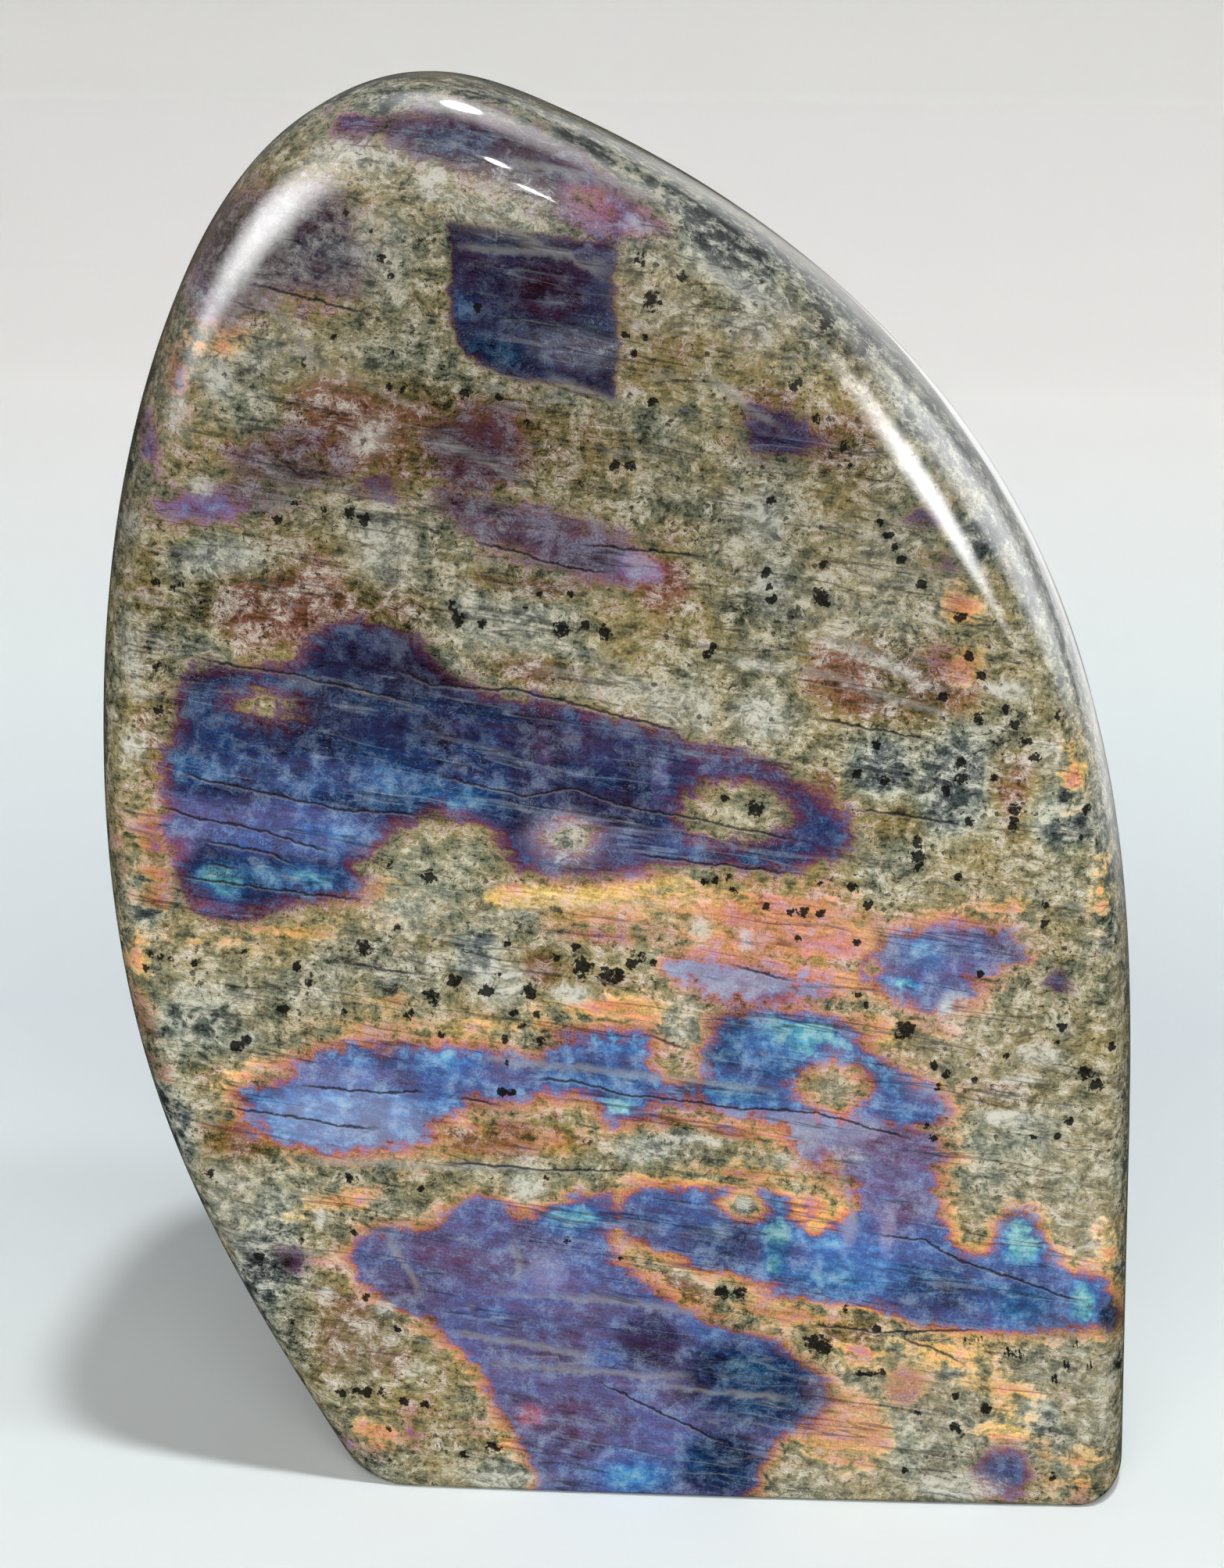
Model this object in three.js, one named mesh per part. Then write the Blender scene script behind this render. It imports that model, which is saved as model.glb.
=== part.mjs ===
// A polished labradorite free form: one upright slab of stone with a nearly flat show face, hand-rounded
// shoulders and a base cut flat so that it stands.
// Millimetres, +Z up. The show face looks along -Y. The origin is the middle of the stone's footprint box,
// on the surface that it stands on.
import * as THREE from "three";

// Driving dimensions
const HEIGHT = 158.5; // base to crest
const WIDTH = 116; // widest section, seen from the front
const THICKNESS = 55; // crown of the show face to crown of the back
const FACE_CROWN = { across: 1.0, up: 1.5 }; // how far the show face falls back at half the width and height
const BACK_CROWN = { across: 2.5, up: 3.0 }; // the same for the back
const BASE_EDGE = 0.8; // radius of the worn edge between the base and the two faces

// Stations up the right side, over the crest and down the left side, of the widest section seen from the front.
// across: share of half the width; up: share of the height; then in millimetres: how far the front shoulder
// comes in and how deep it is, and how far the back shoulder comes in.
const STATIONS = [
  { across: 0.995, up: 0.018, shoulder: 4.5, depth: 9, taper: 8 },
  { across: 0.981, up: 0.242, shoulder: 4.5, depth: 10, taper: 10 },
  { across: 0.933, up: 0.497, shoulder: 7.0, depth: 13, taper: 13 },
  { across: 0.754, up: 0.693, shoulder: 9.5, depth: 15, taper: 15 },
  { across: 0.317, up: 0.878, shoulder: 11.5, depth: 16, taper: 17 },
  { across: -0.155, up: 0.978, shoulder: 13.5, depth: 17, taper: 18 },
  { across: -0.4, up: 1.0, shoulder: 13.5, depth: 17, taper: 18 },
  { across: -0.597, up: 0.974, shoulder: 13.5, depth: 16, taper: 17 },
  { across: -0.844, up: 0.849, shoulder: 12.0, depth: 15, taper: 16 },
  { across: -0.991, up: 0.585, shoulder: 8.0, depth: 13, taper: 14 },
  { across: -0.927, up: 0.305, shoulder: 7.0, depth: 12, taper: 12 },
  { across: -0.659, up: 0.0685, shoulder: 8.0, depth: 11, taper: 9 },
  { across: -0.58, up: 0.0145, shoulder: 8.5, depth: 11, taper: 8 },
];

// Every smaller section shrinks towards this point on the base, so the base stays flat.
const SHRINK_POINT = new THREE.Vector2(12, 0);
// The middle of the two faces, seen from the front
const FACE_MIDDLE = new THREE.Vector2(0, 76);

// Fineness
const SIDE_POINTS = 84;
const BASE_POINTS = 14;
const CORNER_POINTS = 4;
const SHOULDER_RINGS = 9;
const BACK_RINGS = 8;
const FACE_RINGS = 5;

const SHAPE_KEYS = ["shoulder", "depth", "taper", "reach"];
const KEYS = ["x", "z", ...SHAPE_KEYS];

const stations = STATIONS.map((s) => {
  const x = (s.across * WIDTH) / 2;
  const z = s.up * HEIGHT;
  return { ...s, x, z, reach: Math.hypot(x - SHRINK_POINT.x, z - SHRINK_POINT.y) };
});

// The second derivatives of the natural cubic spline through values at the given knots, by the usual sweep.
function bends(knots, values) {
  const n = values.length;
  const second = new Array(n).fill(0);
  const carried = new Array(n).fill(0);
  for (let i = 1; i < n - 1; i++) {
    const span = knots[i + 1] - knots[i - 1];
    const before = (knots[i] - knots[i - 1]) / span;
    const pivot = before * second[i - 1] + 2;
    const steepening =
      (values[i + 1] - values[i]) / (knots[i + 1] - knots[i]) -
      (values[i] - values[i - 1]) / (knots[i] - knots[i - 1]);
    second[i] = (before - 1) / pivot;
    carried[i] = ((6 * steepening) / span - before * carried[i - 1]) / pivot;
  }
  for (let i = n - 2; i >= 0; i--) {
    second[i] = second[i] * second[i + 1] + carried[i];
  }
  return second;
}

// A curve through the stations whose bend changes without a step, as a polished edge needs.
function smoothThrough(points) {
  const knots = [0];
  for (let i = 1; i < points.length; i++) {
    const chord = Math.hypot(points[i].x - points[i - 1].x, points[i].z - points[i - 1].z);
    knots.push(knots[i - 1] + chord);
  }
  const second = KEYS.map((key) =>
    bends(
      knots,
      points.map((p) => p[key]),
    ),
  );
  const length = knots[knots.length - 1];
  return (share) => {
    const at = share * length;
    const i = Math.min(
      knots.findLastIndex((knot) => knot <= at),
      points.length - 2,
    );
    const step = knots[i + 1] - knots[i];
    const b = (at - knots[i]) / step;
    const a = 1 - b;
    const made = {};
    KEYS.forEach((key, k) => {
      const bend = (a ** 3 - a) * second[k][i] + (b ** 3 - b) * second[k][i + 1];
      made[key] = a * points[i][key] + b * points[i + 1][key] + (bend * step ** 2) / 6;
    });
    return made;
  };
}

// A copy of a station, moved to another place of the outline.
const moved = (station, point) => ({ ...station, x: point.x, z: point.y });

// The rounded corner between the base and a side: the points of a curve from one to the other.
function corner(from, tip, to, station) {
  const curve = new THREE.QuadraticBezierCurve(from, tip, to);
  return curve
    .getPoints(CORNER_POINTS)
    .slice(1)
    .map((point) => moved(station, point));
}

// The closed outline of the widest section, anticlockwise from the left end of the base.
function outline() {
  const side = smoothThrough(stations);
  const right = side(0);
  const left = side(1);
  const leftLean = (left.x - side(0.99).x) / (side(0.99).z - left.z);
  const leftTip = new THREE.Vector2(left.x + leftLean * left.z, 0);
  const rightTip = new THREE.Vector2(right.x, 0);
  const baseLeft = new THREE.Vector2(leftTip.x + left.z, 0);
  const baseRight = new THREE.Vector2(rightTip.x - right.z, 0);
  const base = new THREE.LineCurve(baseLeft, baseRight);
  const points = base.getPoints(BASE_POINTS).map((point, i) => {
    const share = i / BASE_POINTS;
    const made = moved(left, point);
    for (const key of SHAPE_KEYS) {
      made[key] = THREE.MathUtils.lerp(left[key], right[key], share);
    }
    return made;
  });
  points.push(...corner(baseRight, rightTip, new THREE.Vector2(right.x, right.z), right));
  for (let i = 1; i < SIDE_POINTS; i++) {
    points.push(side(i / SIDE_POINTS));
  }
  points.push(moved(left, new THREE.Vector2(left.x, left.z)));
  points.push(...corner(new THREE.Vector2(left.x, left.z), leftTip, baseLeft, left).slice(0, -1));
  return points;
}

// How far a face stands out from the middle of the stone: a very flat dome.
function faceOut(crown, { x, z }) {
  const across = (x - FACE_MIDDLE.x) / (WIDTH / 2);
  const up = (z - FACE_MIDDLE.y) / (HEIGHT / 2);
  return THICKNESS / 2 - crown.across * across ** 2 - crown.up * up ** 2;
}

// A point of the outline, brought in towards the shrink point.
function broughtIn(p, inset) {
  const keep = 1 - inset / p.reach;
  return {
    x: SHRINK_POINT.x + keep * (p.x - SHRINK_POINT.x),
    z: SHRINK_POINT.y + keep * (p.z - SHRINK_POINT.y),
  };
}

// One shoulder, from the widest section to a face: a quarter of an ellipse, which stops just short of its end,
// where it is as steep as the face. start is how far out the widest section lies.
function shoulder(p, inward, start, crown) {
  const rim = broughtIn(p, inward);
  const deep = faceOut(crown, rim) - start;
  const fall = Math.max(0, faceOut(crown, rim) - faceOut(crown, p));
  const last = Math.atan2(deep, fall);
  const end = broughtIn(p, inward * (1 - Math.cos(last)));
  const rise = (faceOut(crown, end) - start) / Math.sin(last);
  return (share) => {
    const angle = last * share;
    const place = broughtIn(p, inward * (1 - Math.cos(angle)));
    return { ...place, out: start + rise * Math.sin(angle) };
  };
}

// How far the worn edge lifts a point that lies this far behind a face, close above the base.
function edgeLift(behind, z) {
  const fade = Math.max(0, 1 - z / (6 * BASE_EDGE)) ** 2;
  const within = BASE_EDGE - THREE.MathUtils.clamp(behind, 0, BASE_EDGE);
  return fade * (BASE_EDGE - Math.sqrt(BASE_EDGE ** 2 - within ** 2));
}

// The rings of one half, from its face's middle out to the widest section. side is -1 for the front.
function halfRings(shoulders, side, crown, shoulderRings) {
  const finish = ({ x, z, out }) => {
    const lift = edgeLift(faceOut(crown, { x, z }) - out, z);
    return new THREE.Vector3(x, side * out, z + lift);
  };
  const onFace = (rim, share) => {
    const x = THREE.MathUtils.lerp(FACE_MIDDLE.x, rim.x, share);
    const z = THREE.MathUtils.lerp(FACE_MIDDLE.y, rim.z, share);
    return { x, z, out: faceOut(crown, { x, z }) };
  };
  const rings = [];
  for (let k = 1; k <= FACE_RINGS; k++) {
    rings.push(shoulders.map((at) => finish(onFace(at(1), k / FACE_RINGS))));
  }
  for (let k = shoulderRings - 1; k >= 0; k--) {
    rings.push(shoulders.map((at) => finish(at(k / shoulderRings))));
  }
  return rings;
}

// A closed skin over rings of equally many points, from a first tip to a last one.
function skin(firstTip, rings, lastTip) {
  const around = rings[0].length;
  const positions = [firstTip, ...rings.flat(), lastTip].flatMap((p) => p.toArray());
  const last = 1 + rings.length * around;
  const at = (ring, i) => 1 + ring * around + (i % around);
  const faces = [];
  for (let i = 0; i < around; i++) {
    faces.push(0, at(0, i), at(0, i + 1));
    for (let ring = 0; ring + 1 < rings.length; ring++) {
      faces.push(at(ring, i), at(ring + 1, i), at(ring + 1, i + 1));
      faces.push(at(ring, i), at(ring + 1, i + 1), at(ring, i + 1));
    }
    faces.push(at(rings.length - 1, i), last, at(rings.length - 1, i + 1));
  }
  const geometry = new THREE.BufferGeometry();
  geometry.setAttribute("position", new THREE.Float32BufferAttribute(positions, 3));
  geometry.setIndex(faces);
  geometry.computeVertexNormals();
  return geometry;
}

// The stone: the front half's rings out to the widest section, then the back half's rings in again.
function stoneGeometry() {
  const points = outline();
  const widest = points.map((p) => faceOut(FACE_CROWN, broughtIn(p, p.shoulder)) - p.depth);
  const frontShoulders = points.map((p, i) => shoulder(p, p.shoulder, widest[i], FACE_CROWN));
  const backShoulders = points.map((p, i) => shoulder(p, p.taper, -widest[i], BACK_CROWN));
  const front = halfRings(frontShoulders, -1, FACE_CROWN, SHOULDER_RINGS);
  const back = halfRings(backShoulders, 1, BACK_CROWN, BACK_RINGS);
  back.pop(); // the widest section is in the front half already
  back.reverse();
  const frontTip = new THREE.Vector3(FACE_MIDDLE.x, -THICKNESS / 2, FACE_MIDDLE.y);
  const backTip = new THREE.Vector3(FACE_MIDDLE.x, THICKNESS / 2, FACE_MIDDLE.y);
  return skin(frontTip, [...front, ...back], backTip);
}

const polishedFeldspar = new THREE.MeshStandardMaterial({
  color: new THREE.Color(0.36, 0.33, 0.27),
  roughness: 0.12,
  metalness: 0,
});

const stone = new THREE.Mesh(stoneGeometry(), polishedFeldspar);
stone.name = "labradorite";

const part = new THREE.Group();
part.add(stone);

export default part;
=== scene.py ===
# %% [markdown]
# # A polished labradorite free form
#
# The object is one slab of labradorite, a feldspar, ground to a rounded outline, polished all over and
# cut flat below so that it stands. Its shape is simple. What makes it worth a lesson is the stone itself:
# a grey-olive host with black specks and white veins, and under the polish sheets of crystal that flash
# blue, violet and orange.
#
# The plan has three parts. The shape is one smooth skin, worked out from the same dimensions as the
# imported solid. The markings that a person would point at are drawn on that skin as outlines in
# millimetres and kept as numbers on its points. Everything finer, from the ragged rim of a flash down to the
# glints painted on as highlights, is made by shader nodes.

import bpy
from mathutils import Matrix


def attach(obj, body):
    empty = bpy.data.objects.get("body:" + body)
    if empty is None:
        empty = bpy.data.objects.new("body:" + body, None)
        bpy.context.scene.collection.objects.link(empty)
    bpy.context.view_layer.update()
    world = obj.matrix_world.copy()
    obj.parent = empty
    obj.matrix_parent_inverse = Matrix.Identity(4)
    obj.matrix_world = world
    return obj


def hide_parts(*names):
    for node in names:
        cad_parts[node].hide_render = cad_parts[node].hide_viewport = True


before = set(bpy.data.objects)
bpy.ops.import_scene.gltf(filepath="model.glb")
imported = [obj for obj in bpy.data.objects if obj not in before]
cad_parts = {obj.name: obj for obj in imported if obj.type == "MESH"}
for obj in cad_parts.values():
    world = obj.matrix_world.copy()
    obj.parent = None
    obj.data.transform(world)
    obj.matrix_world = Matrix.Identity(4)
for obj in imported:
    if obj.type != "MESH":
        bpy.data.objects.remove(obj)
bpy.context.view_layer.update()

# %% Libraries and the unit
import math
import random

import bmesh
import bpy
import numpy as np
from mathutils import Matrix, Vector

MM = 0.001  # the drawings are in millimetres, Blender is in metres

# %% [markdown]
# ## The shape of the stone
#
# Seen from the front, the stone's widest section is a leaning leaf shape. A mason finds it with a
# template and then rounds the edge towards both faces. The stations below are that template: places up
# the right side, over the crest and down the left side. A smooth curve runs through them, and the numbers
# for the shoulders, how far they come in and how deep they are, run along with it. A spline is used
# because its bend changes without a step, and a polished edge shows any step as a kink in its highlight.

# %% Driving dimensions
HEIGHT = 158.5
WIDTH = 116.0
THICKNESS = 55.0
FACE_CROWN = (1.0, 1.5)  # how far the show face falls back at half the width and at half the height
BACK_CROWN = (2.5, 3.0)
BASE_EDGE = 0.8  # radius of the worn edge between the base and the two faces
EDGE_FADE = 6  # the worn edge has died out at this many radii above the base
SHRINK_POINT = (12.0, 0.0)  # smaller sections shrink towards this point, so the base stays flat
FACE_MIDDLE = (0.0, 76.0)

# across: share of half the width; up: share of the height; shoulder and depth: the front edge's rounding;
# taper: how far the back edge comes in.
STATIONS = np.array([
    (0.995, 0.018, 4.5, 9, 8),
    (0.981, 0.242, 4.5, 10, 10),
    (0.933, 0.497, 7.0, 13, 13),
    (0.754, 0.693, 9.5, 15, 15),
    (0.317, 0.878, 11.5, 16, 17),
    (-0.155, 0.978, 13.5, 17, 18),
    (-0.4, 1.0, 13.5, 17, 18),
    (-0.597, 0.974, 13.5, 16, 17),
    (-0.844, 0.849, 12.0, 15, 16),
    (-0.991, 0.585, 8.0, 13, 14),
    (-0.927, 0.305, 7.0, 12, 12),
    (-0.659, 0.0685, 8.0, 11, 9),
    (-0.58, 0.0145, 8.5, 11, 8),
])

# Fineness of the visible skin: much finer than the solid's, because the markings are kept on its points.
FACE_GRID = 256  # squares across the show face's grid, so 4 times as many points around the outline
SHOULDER_STEPS = 14
BACK_STEPS = 10
BACK_FACE_STEPS = 22
BASE_FINE = 400  # points along the base before they are spaced evenly
SIDE_FINE = 4 * BASE_FINE
CORNER_FINE = 24


# %% A smooth curve through the stations
def bends(knots, values):
    """The second derivatives of the natural cubic spline through values at the knots."""
    n = len(knots)
    system = np.eye(n)
    right = np.zeros(values.shape)
    for i in range(1, n - 1):
        before, after = knots[i] - knots[i - 1], knots[i + 1] - knots[i]
        system[i, i - 1 : i + 2] = before, 2 * (before + after), after
        right[i] = 6 * ((values[i + 1] - values[i]) / after - (values[i] - values[i - 1]) / before)
    return np.linalg.solve(system, right)


def along(points, shares):
    """Points of the smooth curve through the rows of points, at shares of its chord length."""
    chords = np.hypot(*np.diff(points[:, :2], axis=0).T)
    knots = np.concatenate([[0], np.cumsum(chords)])
    second = bends(knots, points)
    at = np.asarray(shares) * knots[-1]
    i = np.clip(np.searchsorted(knots, at, side="right") - 1, 0, len(knots) - 2)
    step = (knots[i + 1] - knots[i])[:, None]
    b = ((at - knots[i]) / step[:, 0])[:, None]
    a = 1 - b
    bend = ((a**3 - a) * second[i] + (b**3 - b) * second[i + 1]) * step**2 / 6
    return a * points[i] + b * points[i + 1] + bend


# %% The outline of the widest section
def corner(start, tip, end, like):
    """A rounded corner between base and side, bent round its tip, with the shoulder numbers of one row."""
    t = np.linspace(0, 1, CORNER_FINE)[1:-1, None]
    place = (1 - t) ** 2 * np.array(start) + 2 * t * (1 - t) * np.array(tip) + t**2 * np.array(end)
    return np.column_stack([place, np.tile(like[2:], (len(t), 1))])


def outline():
    """Rows of x, z, shoulder, depth, taper, reach, anticlockwise from the left end of the base."""
    x = STATIONS[:, 0] * WIDTH / 2
    z = STATIONS[:, 1] * HEIGHT
    reach = np.hypot(x - SHRINK_POINT[0], z - SHRINK_POINT[1])
    stations = np.column_stack([x, z, STATIONS[:, 2:], reach])
    side = along(stations, np.linspace(0, 1, SIDE_FINE))
    right, left = side[0], side[-1]
    just_before = along(stations, [0.99])[0]
    lean = (left[0] - just_before[0]) / (just_before[1] - left[1])
    right_tip, left_tip = right[0], left[0] + lean * left[1]
    base_left, base_right = left_tip + left[1], right_tip - right[1]
    share = np.linspace(0, 1, BASE_FINE)[:, None]
    base = left + share * (right - left)
    base[:, 0] = base_left + share[:, 0] * (base_right - base_left)
    base[:, 1] = 0
    right_corner = corner((base_right, 0), (right_tip, 0), right[:2], right)
    left_corner = corner(left[:2], (left_tip, 0), (base_left, 0), left)
    return np.vstack([base, right_corner, side, left_corner])


def evenly(rows, count):
    """The closed line's rows at count even steps of its length."""
    closed = np.vstack([rows, rows[:1]])
    run = np.concatenate([[0], np.cumsum(np.hypot(*np.diff(closed[:, :2], axis=0).T))])
    keep = np.concatenate([[True], np.diff(run) > 1e-9])
    at = np.arange(count) * run[-1] / count
    return np.column_stack([np.interp(at, run[keep], column[keep]) for column in closed.T])


rim_line = evenly(outline(), 4 * FACE_GRID)
wide, high = np.ptp(rim_line[:, :2], axis=0)
print(f"outline: {len(rim_line)} points, {wide:.1f} mm wide, {high:.1f} mm high")

# %% [markdown]
# ## Shoulders and faces
#
# Both faces are very flat domes, as a hand-held stone gets on a polishing wheel. Each shoulder is a
# quarter of an ellipse from the widest section to the face, and it stops where it is as steep as the
# face, so no edge is left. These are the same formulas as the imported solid's, only on more points.


# %% Rings of the skin
def face_out(crown, x, z):
    """How far a face stands out from the middle plane."""
    across = (x - FACE_MIDDLE[0]) / (WIDTH / 2)
    up = (z - FACE_MIDDLE[1]) / (HEIGHT / 2)
    return THICKNESS / 2 - crown[0] * across**2 - crown[1] * up**2


def brought_in(rows, inset):
    """The outline shrunk by an inset in millimetres, as x and z."""
    keep = 1 - inset / rows[:, 5]
    return (
        SHRINK_POINT[0] + keep * (rows[:, 0] - SHRINK_POINT[0]),
        SHRINK_POINT[1] + keep * (rows[:, 1] - SHRINK_POINT[1]),
    )


def shoulder_ring(rows, inward, start, crown, share):
    """One ring of a shoulder as x, z and how far out. share is 0 at the widest section and 1 at the face."""
    x, z = brought_in(rows, inward)
    rim = face_out(crown, x, z)
    fall = np.maximum(0, rim - face_out(crown, rows[:, 0], rows[:, 1]))
    last = np.arctan2(rim - start, fall)
    x, z = brought_in(rows, inward * (1 - np.cos(last)))
    rise = (face_out(crown, x, z) - start) / np.sin(last)
    x, z = brought_in(rows, inward * (1 - np.cos(last * share)))
    return x, z, start + rise * np.sin(last * share)


def placed(side, crown, x, z, out):
    """The ring's points in space, with the base's worn edge lifted a little. side is -1 for the front."""
    fade = np.maximum(0, 1 - z / (EDGE_FADE * BASE_EDGE)) ** 2
    within = BASE_EDGE - np.clip(face_out(crown, x, z) - out, 0, BASE_EDGE)
    lift = fade * (BASE_EDGE - np.sqrt(BASE_EDGE**2 - within**2))
    return np.column_stack([x, side * out, z + lift])


face_rim = face_out(FACE_CROWN, *brought_in(rim_line, rim_line[:, 2]))
widest = face_rim - rim_line[:, 3]


def front_ring(share):
    return shoulder_ring(rim_line, rim_line[:, 2], widest, FACE_CROWN, share)


def back_ring(share):
    return shoulder_ring(rim_line, rim_line[:, 4], -widest, BACK_CROWN, share)


print(f"the widest section lies {widest.min():.1f} to {widest.max():.1f} mm in front of the middle plane")

# %% [markdown]
# ## One skin of squares
#
# A face made of rings around its middle has slivers there and wide gaps at its rim, and the markings
# would be sharp in one place and blurred in another. So the show face is a square sheet of squares,
# pulled out to the outline: each square shell of the sheet becomes one ring. The back needs less, so
# every other point is dropped on the way.


# %% The show face's grid
def show_face_grid():
    """The show face as a square grid of points, whose border is the shoulder's last ring."""
    n = FACE_GRID
    x, z, _ = front_ring(1.0)
    lines = np.linspace(-1, 1, n + 1)
    u, v = np.meshgrid(lines, lines, indexing="ij")
    shell = np.maximum(np.abs(u), np.abs(v))
    safe = np.where(shell > 0, shell, 1)
    # Position along the square's border, in points, from its lower left corner, anticlockwise
    ub, vb = u / safe, v / safe
    tiny = 1e-9
    lower, right, upper = vb <= -1 + tiny, ub >= 1 - tiny, vb >= 1 - tiny
    runs = [(ub + 1) / 2, 1 + (vb + 1) / 2, 2 + (1 - ub) / 2]
    at = (np.select([lower, right, upper], runs, 3 + (1 - vb) / 2) * n) % (4 * n)
    points = np.arange(4 * n + 1)
    to_x = np.interp(at, points, np.append(x, x[0]))
    to_z = np.interp(at, points, np.append(z, z[0]))
    gx = FACE_MIDDLE[0] + shell * (to_x - FACE_MIDDLE[0])
    gz = FACE_MIDDLE[1] + shell * (to_z - FACE_MIDDLE[1])
    return placed(-1, FACE_CROWN, gx.ravel(), gz.ravel(), face_out(FACE_CROWN, gx.ravel(), gz.ravel()))


# %% A skin that grows ring by ring
class Skin:
    """Blocks of points, and the squares and triangles between them."""

    def __init__(self):
        self.blocks, self.squares, self.triangles, self.made = [], [], [], 0

    def add(self, block):
        """Adds points and gives back their numbers."""
        self.blocks.append(block)
        self.made += len(block)
        return np.arange(self.made - len(block), self.made)

    def strip(self, new, old):
        """Squares between a new ring and the one before it, with as many points."""
        self.squares.append(np.column_stack([new, np.roll(new, -1), np.roll(old, -1), old]))

    def halve(self, many, few):
        """Triangles between a ring and the next, which has half as many points."""
        even, odd, after, few_after = many[::2], many[1::2], np.roll(many, -2)[::2], np.roll(few, -1)
        for three in ((even, odd, few), (odd, after, few_after), (odd, few_after, few)):
            self.triangles.append(np.column_stack(three[::-1]))

    def close(self, ring, tip):
        """A fan from the last ring to one point."""
        (end,) = self.add(np.array([tip]))
        self.triangles.append(np.column_stack([np.full(len(ring), end), np.roll(ring, -1), ring]))


def build_skin():
    n = FACE_GRID
    made = Skin()
    index = made.add(show_face_grid()).reshape(n + 1, n + 1)
    cells = [index[:-1, :-1], index[1:, :-1], index[1:, 1:], index[:-1, 1:]]
    made.squares.append(np.stack(cells, axis=-1).reshape(-1, 4))
    ring = np.concatenate([index[:-1, 0], index[-1, :-1], index[:0:-1, -1], index[0, :0:-1]])
    # Front shoulder, from the face out to the widest section, then the back shoulder in again
    shares = [k / SHOULDER_STEPS for k in range(SHOULDER_STEPS - 1, -1, -1)]
    blocks = [placed(-1, FACE_CROWN, *front_ring(share)) for share in shares]
    blocks += [placed(1, BACK_CROWN, *back_ring(k / BACK_STEPS)) for k in range(1, BACK_STEPS + 1)]
    for block in blocks:
        outer = made.add(block)
        made.strip(outer, ring)
        ring = outer
    # The back face, with half as many points from its first ring on
    x, z, _ = back_ring(1.0)
    for k in range(BACK_FACE_STEPS - 1, 0, -1):
        share = k / BACK_FACE_STEPS
        fx = FACE_MIDDLE[0] + share * (x[::2] - FACE_MIDDLE[0])
        fz = FACE_MIDDLE[1] + share * (z[::2] - FACE_MIDDLE[1])
        inner = made.add(placed(1, BACK_CROWN, fx, fz, face_out(BACK_CROWN, fx, fz)))
        if len(inner) < len(ring):
            made.halve(ring, inner)
        else:
            made.strip(inner, ring)
        ring = inner
    made.close(ring, (FACE_MIDDLE[0], THICKNESS / 2, FACE_MIDDLE[1]))
    return [np.vstack(part) for part in (made.blocks, made.squares, made.triangles)]


skin, squares, threes = build_skin()
print(f"skin: {len(skin)} points, {len(squares)} squares, {len(threes)} triangles")

# %% Make the mesh
stone_mesh = bpy.data.meshes.new("labradorite stone")
stone_mesh.from_pydata((skin * MM).tolist(), [], squares.tolist() + threes.tolist())
stone_mesh.validate()
stone_mesh.shade_smooth()
stone = bpy.data.objects.new("labradorite_stone", stone_mesh)
bpy.context.collection.objects.link(stone)

check = bmesh.new()
check.from_mesh(stone_mesh)
open_edges = sum(1 for edge in check.edges if not edge.is_manifold)
volume = check.calc_volume(signed=True)
check.free()
print(f"open or crossed edges: {open_edges}, volume: {volume * 1e6:.1f} cm3")

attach(stone, "root")
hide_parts("labradorite")

# %% [markdown]
# ## Drawing the markings
#
# In labradorite the flash comes from thin sheets of crystal that lie in zones. From the rim of a zone
# inwards its colour runs through gold, orange, red, purple, violet and blue to a sea green, as in a film
# of oil. So one number, the order, gives the colour: 0 is gold and 1 is sea green. Every zone is an
# outline in millimetres with its order, its glow and its fire, which is how bright the orange rim is. For
# each point of the skin we work out how deep it lies inside the nearest zones. That number changes
# smoothly, so it is safe to keep on the points, and the shader can make the edge as ragged as it likes by
# adding noise to it.

# %% Helpers for drawing
FAR = 8.0  # millimetres from a zone's edge beyond which its distance doesn't matter


def smooth(low, high, value):
    """A smooth step from 0 to 1, while the value goes from low to high."""
    t = np.clip((value - low) / (high - low), 0, 1)
    return t * t * (3 - 2 * t)


def rounded(points):
    """A closed outline with its corners cut twice, which makes a drawn line run softly."""
    line = np.array(points, float)
    for _ in range(2):
        after = np.roll(line, -1, axis=0)
        line = np.stack([0.75 * line + 0.25 * after, 0.25 * line + 0.75 * after], axis=1).reshape(-1, 2)
    return line


def depth_inside(line, x, z):
    """Millimetres inside a closed line, negative outside; past FAR it is only known to be farther."""
    found = np.full(len(x), -FAR)
    low, high = line.min(axis=0) - FAR, line.max(axis=0) + FAR
    near = np.flatnonzero((x > low[0]) & (x < high[0]) & (z > low[1]) & (z < high[1]))
    px, pz = x[near], z[near]
    best = np.full(len(near), FAR**2)
    odd = np.zeros(len(near), bool)
    for (ax, az), (bx, bz) in zip(line, np.roll(line, -1, axis=0)):
        ex, ez = bx - ax, bz - az
        t = np.clip(((px - ax) * ex + (pz - az) * ez) / (ex * ex + ez * ez + 1e-12), 0, 1)
        best = np.minimum(best, (px - ax - t * ex) ** 2 + (pz - az - t * ez) ** 2)
        if ez:
            odd ^= ((az > pz) != (bz > pz)) & (px < ax + (pz - az) / ez * ex)
    found[near] = np.where(odd, 1, -1) * np.sqrt(best)
    return found


def out_of_oval(x, z, middle, half_axes, lean):
    """How far out from an oval's middle: 0 there and 1 on its rim. The lean is in degrees."""
    c, s = math.cos(math.radians(lean)), math.sin(math.radians(lean))
    across, up = x - middle[0], z - middle[1]
    a, b = (across * c + up * s) / half_axes[0], (up * c - across * s) / half_axes[1]
    return np.sqrt(a * a + b * b)


def oval_depth(x, z, middle, half_axes, lean):
    """Millimetres inside an oval, roughly."""
    return (1 - out_of_oval(x, z, middle, half_axes, lean)) * min(half_axes)
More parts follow.
